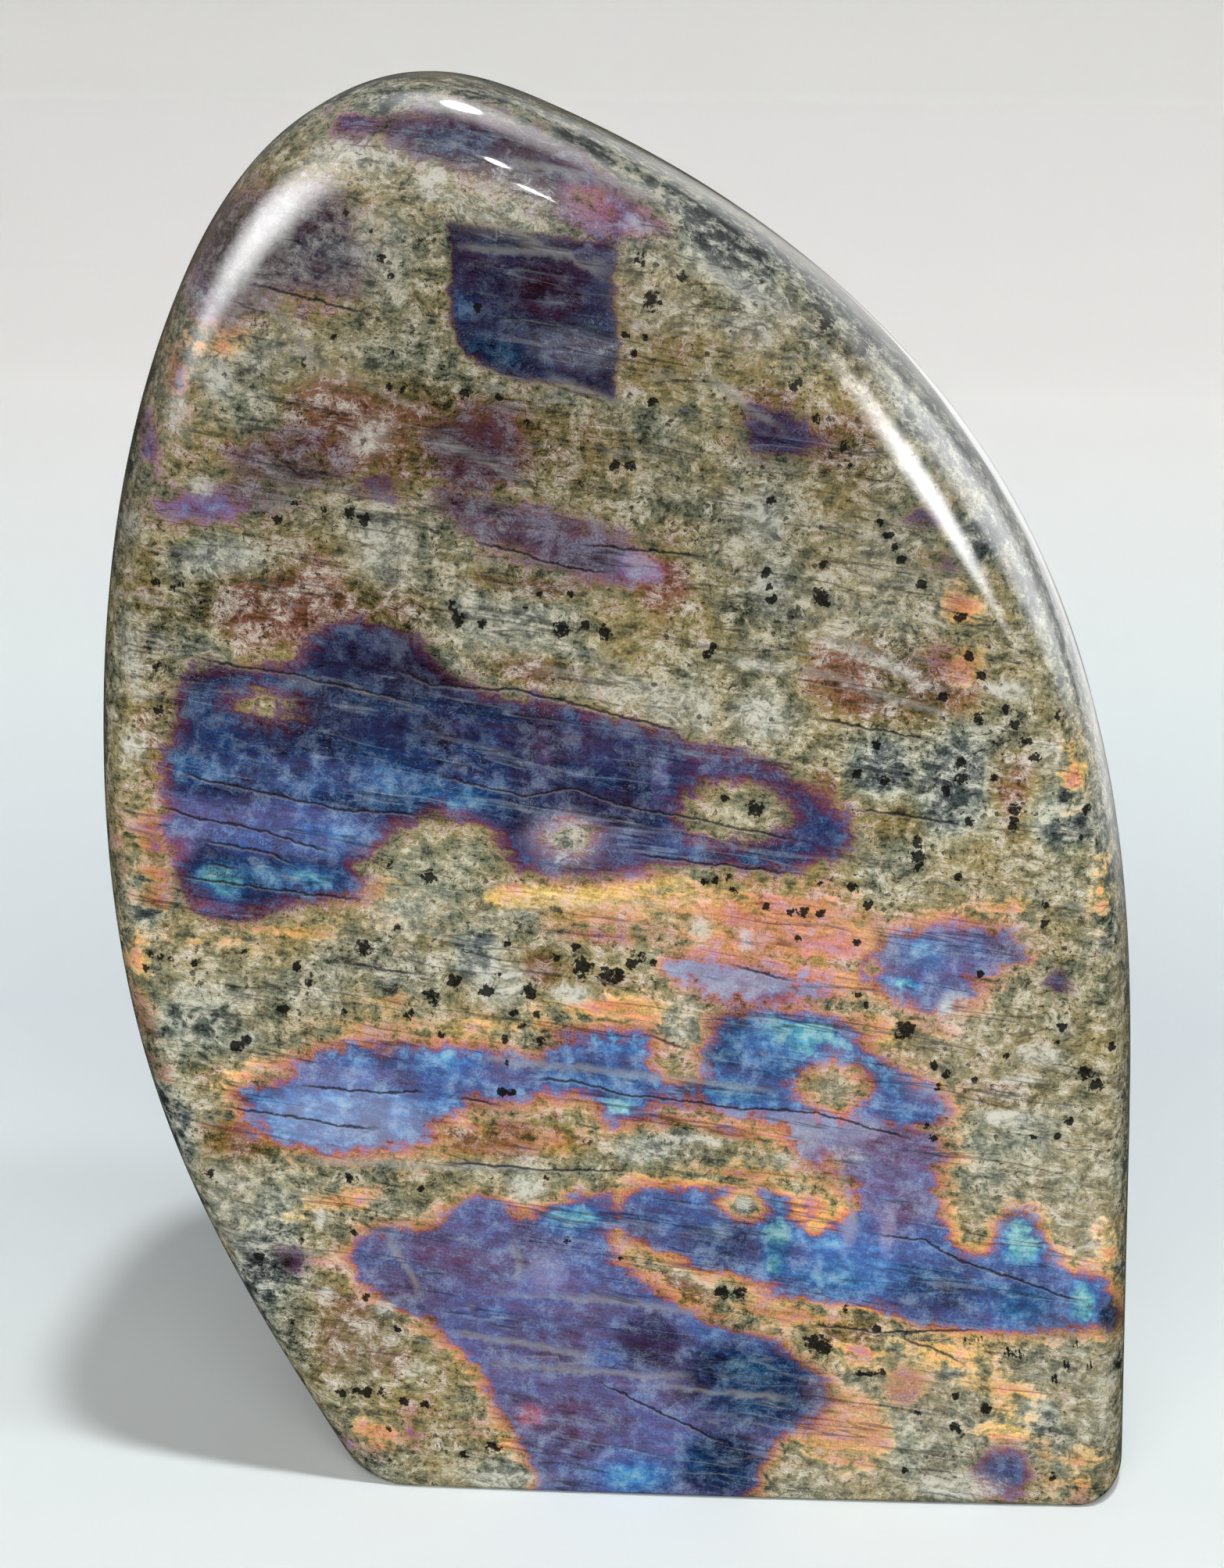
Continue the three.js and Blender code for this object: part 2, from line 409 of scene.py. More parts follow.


# %% [markdown]
# ### The zones of the show face
#
# These are the large flashes, from the foot of the stone up. A zone's outline is the line where the
# host's grey stops. They could be blobs of noise, but a drawn outline is the only way to put
# each where it belongs. The dark crystal near the crest has corners, and its doubled points keep them
# sharp.

# %% Zones of flash
# name: order, glow, fire, softness of the edge in millimetres, then the outline in millimetres
FLASH_ZONES = {
    "foot": (0.57, 0.9, 0.85, 1.1, [
        (-9.5, -3), (-9.5, 3), (-10.5, 5), (-12, 7.5), (-13.5, 10), (-14.5, 12), (-16, 15), (-18.5, 18),
        (-20, 19.5), (-22, 21.5), (-25, 22.5), (-27, 24), (-29.5, 26), (-30.5, 30), (-29, 33), (-24, 32.5),
        (-20, 34), (-18, 37), (-16, 38), (-14, 38), (-12.5, 36), (-10, 35), (-8, 36), (-6, 38), (-3, 38.7),
        (0, 38.8), (1, 35), (-1, 33), (-1, 30.5), (3, 27.5), (8, 24.6), (13, 22.5), (17, 21.5), (20, 19),
        (23, 16.5), (24.5, 14.5), (23, 12), (20, 9.5), (17, 6), (16, 2), (15, -3)]),
    "lower right band": (0.66, 0.95, 1, 1, [
        (0, 38.8), (6, 39.5), (12, 39.3), (14, 40), (18, 39), (20, 35), (22, 33.5), (24, 35), (26, 38),
        (36, 38), (37, 33), (40, 31.5), (42, 33), (42.5, 37.5), (46, 37.8), (48, 33), (49, 30.5),
        (51, 30.5), (55, 29.5), (56, 23), (49, 22.3), (46, 22), (40, 22.5), (34, 23), (30, 24), (28, 25.3),
        (20, 25.6), (15, 26.3), (10, 28.5), (8, 30), (3, 32), (0, 33.5)]),
    "bridge": (0.5, 0.95, 0.8, 1.8, [
        (16, 49), (21, 48), (28, 49.5), (35, 48), (36.5, 44), (36.5, 38), (35, 33), (27, 32), (25.5, 39),
        (21.5, 41), (18, 44)]),
    "middle": (0.72, 0.95, 0.75, 1.4, [
        (-36, 53), (-31, 55.5), (-20, 56), (-13, 55.7), (-10, 54), (-7, 57.5), (-3, 58), (4, 58.5),
        (5, 56.5), (8, 53.8), (9.5, 57), (10, 61), (14, 61.3), (20, 61), (24, 60), (27, 57.5), (30, 55),
        (34, 52.5), (37, 50), (36, 46), (33, 45.5), (27, 45), (20, 45), (14, 46.8), (6, 48.2), (3, 47),
        (0, 45.8), (-2.5, 47), (-3, 49.5), (-8, 49), (-14, 47.5), (-18, 47.5), (-20, 43), (-30, 41),
        (-37, 41.5), (-39, 43), (-43, 47), (-42, 50)]),
    "right patch": (0.6, 1, 0.7, 1.7, [
        (26.5, 67), (28, 69.5), (33, 71.5), (39, 72), (44, 70.5), (45.5, 67), (42, 65), (39, 62.5),
        (36, 59.5), (33, 59.5), (30, 61.5), (27, 63.5)]),
    "great band": (0.64, 0.5, 0.25, 1.5, [
        (-48, 95), (-46, 98.5), (-40, 98.5), (-35, 99), (-34, 101), (-32, 103), (-29, 104), (-25, 104.5),
        (-20, 102), (-17, 98), (-14, 96.3), (-5, 95), (0, 93.7), (5, 92.5), (10, 90.5), (15, 89.5),
        (20, 87), (25, 84), (26, 80), (23, 77), (15, 76), (8, 76.6), (4, 76), (0, 75.3), (-5, 75),
        (-12, 75.5), (-13.5, 79), (-16, 81), (-20, 82), (-24, 79), (-28, 76.5), (-27, 74), (-28, 72),
        (-32, 71), (-36, 70.5), (-40, 69), (-44, 68.8), (-47, 70.5), (-49, 74), (-50.5, 79), (-50, 84),
        (-49, 90)]),
    "purple lens": (0.42, 0.66, 0.1, 2.2, [
        (-20, 119), (-12, 116.8), (-5, 115.5), (0, 114), (4, 111.7), (5.3, 109.6), (4, 108), (0, 107),
        (-5, 107.8), (-10, 110), (-16, 112.8), (-19, 116)]),
    "dark crystal": (0.55, 0.36, 0, 0.6, [
        (-17.8, 146), (-17.8, 146), (-10, 145), (0, 144.3), (0, 144.3), (-0.3, 127.5), (-0.3, 127.5),
        (-4, 129), (-10, 129.5), (-14, 131), (-17.5, 133)]),
    "crest": (0.5, 0.6, 0.1, 2, [
        (-26, 156), (-20, 158), (-12, 157), (-4, 154), (2, 149), (5.5, 146), (3, 144.3), (-6, 145),
        (-8, 148), (-14, 150), (-21, 151.5)]),
    "upper left veil": (0.47, 0.62, 0, 3, [
        (-41, 149), (-34, 150), (-27, 149), (-25, 141), (-27, 137), (-36, 137), (-43, 133), (-45.5, 138),
        (-44, 145)]),
    "left mauve": (0.36, 0.55, 0.1, 3, [
        (-42, 117), (-41, 123), (-33, 124.5), (-28, 123.5), (-26.5, 119.5), (-33, 117), (-40, 115.5)]),
    "mauve column": (0.38, 0.4, 0.1, 2.6, [
        (-21, 126), (-13, 128), (-9, 124), (-11, 118), (-19, 117)]),
    "gold arc": (0, 1.12, 0.6, 0.8, [
        (-14, 73.2), (-8, 74.6), (-3, 75), (0, 75.5), (4, 76.4), (8.5, 76), (8, 74), (4, 73.9), (0, 73),
        (-3, 72.3), (-8, 72.3), (-14, 72.2)]),
    "second arc": (0.07, 1, 0.6, 0.8, [
        (-8, 71.2), (0, 72.5), (5, 72.3), (5, 70.6), (0, 70.8), (-8, 69.8)]),
    "orange field": (0.1, 1, 0.8, 1.6, [
        (4, 74.5), (10, 76), (16, 74.8), (22, 74), (27, 72), (30, 68), (28, 65.5), (27, 63.5), (22, 64.5),
        (14, 66.4), (9, 67.5), (5, 70)]),
    "lilac lens": (0.52, 1.2, 0.6, 1.3, [
        (4, 66.6), (12, 67), (20, 65), (26, 62), (17, 60), (7, 61.4)]),
}

# %% [markdown]
# ### Small flashes
#
# Many small islands flash on their own: orange and gold ones along the cracks, a few blue ones in the
# host. An oval is enough for each, since the shader frays them.

# %% Islands of flash
# middle x and z, half axes, lean in degrees, order, glow, fire
FLASH_OVALS = [
    (16.5, 124.3, 4.2, 2.6, -10, 0.46, 0.5, 0), (34, 100.8, 2.2, 2, 0, 0.28, 0.75, 0.5),
    (32.5, 116, 1.8, 1.2, 0, 0.82, 0.62, 0), (34.5, 111, 1.8, 1.2, 0, 0.84, 0.7, 0),
    (36, 107, 1.8, 2, 0, 0.14, 1, 1), (36.5, 100.2, 2, 2, 0, 0.12, 0.9, 1),
    (-43, 115.5, 5.5, 1.6, -3, 0.47, 0.95, 0), (-49.3, 122.5, 0.9, 3, 8, 0.62, 1, 0),
    (-46, 129, 1, 3, 8, 0.3, 0.9, 0.6), (-27, 155.3, 3, 1.6, 5, 0.34, 0.8, 0.2),
    (-42, 134, 2.6, 2, 0, 0.12, 1.1, 1), (-25, 118.5, 3, 1.5, -5, 0.33, 0.5, 0.2),
    (0.5, 81.3, 2, 1, 0, 0.14, 1, 1), (-12.5, 81.2, 1.8, 1.3, 0, 0.12, 0.8, 1),
    (-50.5, 76.5, 2.2, 6.5, 2, 0.12, 0.8, 1), (-54.2, 76.5, 0.8, 2.4, 3, 0.75, 0.8, 0.5),
    (-53, 65.3, 1, 2.2, 4, 0.18, 1.1, 1), (-52, 55, 1, 5, 12, 0.2, 0.6, 0.8),
    (-43, 67.8, 5.5, 0.8, 3, 0.04, 0.95, 1), (-33, 68.6, 4.5, 0.8, 12, 0.08, 0.8, 1),
    (-29, 72.2, 4, 1.3, 15, 0.1, 0.8, 1), (-24.5, 60.8, 1.2, 0.7, 0, 0.28, 0.8, 1),
    (-15.5, 57.7, 3.4, 0.7, 0, 0.09, 0.95, 1), (-8, 58.2, 1.4, 0.6, 0, 0.09, 0.95, 1),
    (-1, 60.6, 5.5, 1.3, 5, 0.12, 0.95, 1), (-24, 57.6, 5, 0.6, 2, 0.13, 0.75, 1),
    (-41, 51.3, 2.2, 0.8, 15, 0.07, 1.1, 1), (2, 59.3, 2.2, 0.8, 0, 0.42, 1.1, 1),
    (0, 69, 6, 1.1, 0, 0.3, 0.75, 0.7), (27, 60, 4.5, 1.1, -40, 0.1, 0.95, 1),
    (41.5, 73, 2.3, 1, 0, 0.12, 0.9, 1), (31.5, 61.6, 1.6, 0.7, -20, 0.12, 0.9, 1),
    (47.7, 64.5, 1.4, 1.8, 0, 0.62, 0.5, 0), (48.3, 87.5, 1, 2.6, 0, 0.13, 1, 1),
    (51.8, 75, 0.7, 2.2, 0, 0.14, 1.1, 1), (-15.5, 45.5, 1.8, 1.1, 0, 0.28, 0.85, 1),
    (-6.5, 44.3, 3, 1.3, -4, 0.14, 0.85, 1), (6.2, 47.3, 2, 1.1, 0, 0.12, 0.7, 1),
    (13.5, 46, 4, 1.6, -6, 0.13, 0.7, 1), (13, 41, 5.2, 1.2, -5, 0.16, 0.85, 1),
    (-14, 43.6, 6, 1.4, 4, 0.12, 0.6, 1), (-42.5, 43.2, 4, 2.2, 0, 0.12, 0.6, 1),
    (-29, 37.2, 6, 1.1, 22, 0.05, 1.05, 1), (-25, 38.9, 3, 1, 15, 0.45, 0.7, 0.6),
    (26, 43.5, 2.5, 1.6, 0, 0.2, 1, 0.6), (21.8, 37, 1.9, 2.2, 20, 0.12, 1, 1),
    (36.5, 42, 0.9, 4, -5, 0.2, 0.95, 1), (20, 23.8, 8, 1.1, -3, 0.11, 0.9, 1),
    (36, 19.8, 5.2, 1.5, -14, 0.03, 1.1, 1), (27.5, 19.3, 2.6, 1.7, -10, 0.17, 1, 1),
    (32.5, 15.5, 2.6, 2.5, 0, 0.13, 0.75, 1), (25.5, 9.5, 5.5, 5, -35, 0.09, 0.95, 1),
    (42.5, 15.5, 3.5, 1.4, -12, 0.04, 1, 1), (44, 10.3, 3.2, 1.8, -10, 0.03, 1.15, 1),
    (43.8, 5, 4.1, 3.8, 10, 0.6, 0.72, 0.3), (48.3, 6, 1.2, 3.5, 12, 0.1, 1, 1),
    (52, 7, 2, 1.1, 0, 0.12, 1, 1), (52.5, 4.3, 1.6, 1.2, 0, 0.26, 1.1, 1),
    (52.5, 2, 1.6, 1, 0, 0.7, 0.95, 0.5), (53.7, 35.5, 1.2, 1, 0, 0.13, 1.1, 1),
    (49.3, 31.5, 1, 1, 0, 0.13, 1, 1), (54.5, 32.5, 1, 1, 0, 0.13, 1, 1),
    (-27.5, 7, 3, 2, -20, 0.12, 1, 1), (-23.5, 7.5, 1.4, 2.4, 0, 0.86, 0.8, 0.4),
    (-17, 7.8, 1.5, 1.2, 0, 0.84, 0.9, 0.4), (-31, 6, 1.2, 1, 0, 0.48, 1.2, 0.3),
    (-27.5, 4.8, 1.2, 0.8, 0, 0.48, 1.2, 0.3), (-34.5, 28, 1.6, 1.2, 0, 0.24, 1.1, 0.6),
    (-36.8, 28.3, 2, 1.6, 0, 0.6, 0.45, 0), (-12.8, 7.8, 1.6, 1.9, 25, 0.02, 1.15, 1),
    (-12.5, 15, 2.2, 2.6, 0, 0.46, 1.1, 0.3), (-12, 46, 3, 1, 0, 0.4, 0.6, 0.8),
]

# Holes of plain host inside a zone: middle x and z, half axes, lean
HOLES = [
    (12.5, 83, 4.3, 3, 5), (23.8, 51.6, 2.3, 2.1, 0), (14, 37.3, 1.4, 1.3, 0), (-5, 80, 1.2, 0.9, 0),
    (11.7, 26.8, 3, 1.2, -12), (6.8, 57.5, 1.8, 3.6, 0), (-38, 94, 1.6, 0.8, -10), (9.5, 94, 1.2, 2.2, 0),
    (-20, 77, 4.5, 3, 20),
]
print(f"{len(FLASH_ZONES)} zones, {len(FLASH_OVALS)} islands, {len(HOLES)} holes")

# %% [markdown]
# ### Shades inside the zones
#
# No zone has one colour. Where the sheets are thicker the blue turns to sea green, and where they tilt
# away it goes to navy or slate. Each touch below pulls the order and the glow inside an oval towards its
# own, by a share. They are laid one after the other, as a painter's are, so a later one lies over an
# earlier one.

# %% Touches of colour
# middle x and z, half axes, lean, order, glow, share
FLASH_TOUCHES = [
    # Crest and the dark crystal below it
    (-17, 154, 5, 3, 0, 0.62, 0.5, 0.9), (-9, 154.5, 4, 2.4, -15, 0.4, 0.32, 0.8),
    (-3, 147.5, 4, 3, -30, 0.34, 1, 0.9), (2.5, 145.6, 2.4, 1.4, -20, 0.56, 1.5, 0.9),
    (-11.5, 142, 3, 4, 0, 0.6, 0.36, 0.8), (-14, 141.5, 2.5, 1, 0, 0.42, 0.36, 0.9),
    (-7, 139, 5, 3, -10, 0.42, 0.36, 0.9), (-16.5, 137, 2, 1.6, 0, 0.7, 0.55, 0.95),
    (-13.5, 132.5, 4, 1.8, -10, 0.72, 0.3, 0.9), (-5, 132.5, 4, 1.8, 0, 0.5, 0.7, 0.7),
    (-3, 142, 3, 2, 0, 0.47, 0.5, 0.7), (-44, 137, 2, 4, 10, 0.5, 1.5, 0.8),
    (-30, 143, 6, 4, 0, 0.46, 0.62, 0.6), (-39.5, 146, 1.5, 3, -30, 0.45, 0.3, 0.9),
    # Purple lens
    (-15.5, 117.7, 4, 2, -10, 0.45, 0.5, 0.9), (2.4, 110.2, 2.5, 1.8, 0, 0.36, 1.3, 0.95),
    (-12.5, 111, 3, 1.2, -5, 0.32, 0.8, 0.8), (-4, 108.4, 4, 1, 0, 0.33, 0.8, 0.8),
    # Great band
    (-27, 98.5, 9, 4, 0, 0.6, 0.34, 0.95), (-43, 97, 4, 2, 0, 0.6, 0.34, 0.9),
    (-37.5, 94.2, 3.5, 2, 0, 0.32, 0.55, 0.7), (-30, 92, 15, 3, -3, 0.6, 0.34, 0.85),
    (0, 91, 12, 3, -8, 0.52, 0.5, 0.9), (12, 87.5, 6, 2.2, -10, 0.44, 0.62, 0.9),
    (-35, 86.2, 14, 2.3, -2, 0.69, 0.76, 0.95), (-18, 83.8, 3.4, 2, 0, 0.76, 0.75, 0.9),
    (-47, 81, 4, 3, 0, 0.57, 0.95, 0.8), (-36, 80, 12, 3.6, -3, 0.63, 0.95, 0.9),
    (-48.5, 77.5, 2.5, 2.2, 0, 0.42, 0.9, 0.9), (-43.5, 73.7, 3.4, 2.6, 0, 0.92, 0.8, 0.98),
    (-35.5, 74.2, 5, 2, -3, 0.81, 0.78, 0.98), (-44, 70.8, 3, 1.2, 0, 0.58, 0.85, 0.8),
    (-28, 74, 2.2, 1.2, 0, 0.55, 0.8, 0.7), (-3, 79, 9, 4, 0, 0.5, 0.75, 0.8),
    (-6, 80, 4.5, 3.4, 0, 0.5, 1.05, 0.5), (-5.5, 82, 1.5, 1, 0, 0.34, 1, 0.9),
    (6.5, 79.3, 4, 3, 0, 0.6, 0.72, 0.9), (19.5, 80.5, 5, 3.4, -5, 0.58, 0.6, 0.9),
    (-12, 87, 8, 3, -3, 0.62, 0.6, 0.7), (-8, 89, 1.2, 4, 0, 0.55, 0.8, 0.6),
    (4.5, 86.5, 1.2, 3, 0, 0.5, 0.85, 0.6), (-17, 90, 1.2, 4, 0, 0.6, 0.8, 0.5),
    # Middle zone
    (-29, 53.6, 6, 1.8, 0, 0.75, 0.75, 0.5), (-32, 51.5, 9, 2, 0, 0.6, 1.05, 0.9),
    (-30, 46, 11, 4.4, 0, 0.7, 1.2, 0.95), (-10, 52.3, 7, 2, -4, 0.56, 0.9, 0.9),
    (0, 56.7, 5.5, 2, -3, 0.79, 0.9, 0.95), (-1, 52, 9, 2.2, -6, 0.7, 0.85, 0.8),
    (12.5, 50.8, 5, 2, -4, 0.79, 0.8, 0.95), (11.3, 55, 2.2, 1.6, 0, 0.72, 0.6, 0.9),
    (18.5, 53.4, 4, 1.4, 0, 0.74, 0.66, 0.9), (12, 58.6, 2.6, 3, 0, 0.86, 0.8, 0.9),
    (20, 57.8, 5.6, 2.4, -8, 0.88, 0.95, 0.95), (29, 54, 4.6, 2.6, -25, 0.78, 0.75, 0.8),
    (0.5, 48, 3, 1.8, 0, 0.88, 0.95, 0.95), (33.5, 52, 3, 2.6, -40, 0.45, 0.85, 0.7),
    (26, 50, 5, 2.4, 0, 0.66, 0.9, 0.6), (14, 47.6, 8, 1.2, -4, 0.66, 1.25, 0.8),
    (25.5, 47, 4.5, 2, 0, 0.5, 1.25, 0.8), (20, 46, 3.4, 2.6, -20, 0.52, 1.35, 0.8),
    (23.5, 42.5, 1.8, 1.2, -10, 0.16, 1, 0.9),
    # Bridge and lower right band
    (31, 38, 4, 5, 0, 0.52, 0.95, 0.7), (5.5, 35, 5, 3, 0, 0.62, 0.8, 0.8),
    (12, 32.5, 3.4, 2.8, 0, 0.68, 0.72, 0.9), (17.6, 32.5, 1.7, 4.6, 0, 0.92, 0.8, 0.95),
    (24, 28.4, 4.6, 2.4, -10, 0.79, 0.9, 0.9), (35.5, 27.4, 6, 3.4, -8, 0.7, 0.7, 0.9),
    (45.5, 25.8, 4, 3, -5, 0.79, 0.75, 0.95), (44.8, 34, 3, 3.2, 0, 0.98, 0.95, 0.98),
    (51.8, 26, 1.6, 4, 0, 0.98, 0.95, 0.9), (55, 24.5, 1.4, 2.6, 0, 0.6, 0.25, 0.95),
    (25.5, 35.5, 1, 3.4, 5, 0.5, 1.35, 0.7), (30, 34.5, 1, 3.4, -5, 0.52, 1.3, 0.6),
    # Right patch and lilac lens
    (33, 67, 2.6, 1.9, 0, 0.75, 0.95, 0.9), (31.2, 63.5, 1.6, 1.3, 0, 0.9, 0.95, 0.9),
    (27.5, 65.8, 1.4, 1.5, 0, 0.5, 0.95, 0.9), (36.5, 70.6, 4, 1.6, 0, 0.38, 1, 0.9),
    (42.5, 68.5, 2.8, 2.6, 0, 0.46, 0.75, 0.8), (36.5, 61, 2, 2, 0, 0.6, 1.6, 0.7),
    (17, 61.8, 2.4, 0.9, 0, 0.62, 0.95, 0.9),
    # Foot
    (-22, 29, 8, 6.5, 0, 0.5, 0.8, 0.9), (-4.3, 35.5, 2.2, 1.4, 0, 0.9, 0.85, 0.95),
    (-5.5, 35, 3.6, 2, 0, 0.8, 0.9, 0.8), (-6, 28, 10, 3.4, 0, 0.57, 0.95, 0.8),
    (-8, 28.5, 2.6, 2.8, 0, 0.57, 1.2, 0.7), (-10, 21, 7, 3.4, 0, 0.54, 0.8, 0.7),
    (3.5, 20, 4, 4, 0, 0.5, 0.42, 0.9), (12, 21.6, 4.6, 1.8, -4, 0.72, 0.95, 0.9),
    (15, 15, 8, 5.4, -10, 0.72, 0.46, 1), (22.5, 14.5, 1.8, 2.6, 0, 0.45, 0.8, 0.6),
    (-4, 9, 7, 4, -10, 0.5, 0.8, 0.8), (3, 2.6, 5, 2.4, 0, 0.79, 0.85, 0.9),
    (11.5, 4.8, 4.6, 4.4, 0, 0.71, 0.42, 1), (-10, 10, 2, 1.5, 0, 0.3, 1.1, 0.8),
    # Orange field
    (17, 69.5, 7, 3.6, 0, 0.16, 1, 0.7), (13.7, 68.5, 1, 1.8, 0, 0.25, 1.7, 0.7),
    (15.5, 66.2, 4.6, 1, 0, 0.22, 1.2, 0.8), (24.5, 63.6, 2, 1.4, 0, 0.08, 1.15, 0.8),
    (7, 73.5, 4, 1.6, 0, 0.06, 1.2, 0.8),
]
print(f"{len(FLASH_TOUCHES)} touches")

# %% [markdown]
# ### The host and its white clouds
#
# Between the flashes lies plain feldspar. Its tone runs from slate (0) through sage, grey olive and khaki
# to brown (1). Milky clouds lie in it where the crystal is shattered finely, and they are drawn the same
# way.

# %% Host tones
# middle x and z, half axes, lean, tone, share
HOST_TOUCHES = [
    (4, 136, 5, 9, 0, 0.62, 0.7), (12, 143, 7, 4, -30, 0.1, 0.8), (14, 134, 4, 4, -20, 0.6, 0.7),
    (12, 126, 9, 6, 0, 0.45, 0.7), (24, 123, 5, 4, 0, 0.85, 0.7), (16, 128, 3, 1.6, 0, 0.8, 0.7),
    (-20, 123.5, 21, 6, -5, 0.84, 0.8), (-40, 126, 5, 3, 0, 0.3, 0.7), (-30, 143, 6, 5, 0, 0.35, 0.7),
    (-42, 110, 5, 3, 0, 0.3, 0.7), (-34, 112, 5, 4, 0, 0.62, 0.7), (-36, 105, 11, 4.4, 0, 0.9, 0.9),
    (-22, 104.5, 5, 3, -30, 0.8, 0.8), (-12, 102.5, 9, 4.6, 0, 0.42, 0.8),
    (-9, 98.6, 7, 1.8, -8, 0.82, 0.8), (-10, 107.6, 6, 1.4, -8, 0.85, 0.8), (5, 108, 3, 3, 0, 0.86, 0.8),
    (6.5, 113.5, 3.5, 2, 0, 0.68, 0.7), (15, 117, 10, 5, -20, 0.5, 0.5), (10, 104, 10, 4, -5, 0.55, 0.6),
    (29, 98, 10, 5, -10, 0.85, 0.85), (28, 88.5, 3.4, 3.4, 0, 0.05, 0.85), (36, 86, 4, 7, 0, 0.08, 0.8),
    (47, 83, 3, 4, 0, 0.1, 0.8), (41.5, 87.5, 2.4, 4, 0, 0.72, 0.8), (30, 82, 3, 2.4, 0, 0.7, 0.7),
    (22, 86, 2, 2, 0, 0.78, 0.8), (38, 78, 10, 4, 0, 0.5, 0.5), (-38, 62, 11, 5, 0, 0.45, 0.6),
    (-47, 57, 5, 4, 12, 0.2, 0.7), (-15.5, 66.5, 2.6, 3, 0, 0.06, 0.8), (-8, 65, 3, 2.4, 0, 0.9, 0.6),
    (-22, 74, 7, 5, 15, 0.35, 0.7), (2, 66, 3, 2, 0, 0.3, 0.5), (-52, 71, 2, 3, 0, 0.1, 0.6),
    (-49.5, 46, 2, 6, 15, 0.08, 0.7), (43, 57, 6, 5, 0, 0.55, 0.6), (43, 51, 4, 2, 0, 0.7, 0.8),
    (42, 44, 7, 5, 0, 0.35, 0.7), (44.5, 42, 3.4, 2.6, 0, 0.6, 0.6), (48, 36, 4, 6, 0, 0.5, 0.4),
    (-42, 43, 5, 2.6, 0, 0.88, 0.8), (-13, 44, 9, 2.4, 0, 0.86, 0.8), (8, 44, 10, 3, 0, 0.55, 0.5),
    (2.5, 43.5, 3, 2, 0, 0.2, 0.7), (-30, 40, 14, 2, 0, 0.5, 0.7), (-10, 40, 8, 2.6, 0, 0.35, 0.5),
    (-43, 35, 4, 6, 0, 0.5, 0.5), (-30, 19, 7, 6, -30, 0.8, 0.75), (-41, 26, 3, 13, -18, 0.08, 0.7),
    (-36.5, 28, 2.4, 2.4, 0, 0.05, 0.6), (-27, 12.5, 5, 2, 0, 0.45, 0.6),
    (7.5, 26.6, 5, 1.4, -28, 0.9, 0.5), (33, 8, 2.4, 4, 0, 0.25, 0.7), (47.5, 12, 2.4, 2.4, 0, 0.12, 0.8),
    (36, 12, 4, 4, 0, 0.55, 0.6), (26, 22, 5, 2, 0, 0.75, 0.6), (45, 19.5, 8, 2, 0, 0.6, 0.5),
    (-8, 3, 8, 4, 0, 0.3, 0.6), (30, 58, 4, 2, 0, 0.8, 0.5), (31, 126, 4, 2, -40, 0.05, 0.8),
    (38, 114.5, 3, 3, -50, 0.05, 0.8), (22, 136, 3, 2, -30, 0.75, 0.7),
    (25, 133, 2.6, 2.4, -30, 0.75, 0.7), (-20, 157, 20, 2.6, -2, 0.2, 0.8),
    (6, 151, 16, 4, -28, 0.14, 0.9), (26, 138, 13, 4.4, -40, 0.12, 0.85), (37, 124, 12, 4, -54, 0.1, 0.8),
    (46, 107, 11, 3.6, -68, 0.16, 0.75), (52, 85, 14, 2.4, -82, 0.3, 0.6), (-50, 98, 3, 14, 0, 0.75, 0.6),
    (-46, 118, 3, 8, 10, 0.5, 0.4),
]
print(f"{len(HOST_TOUCHES)} tones")

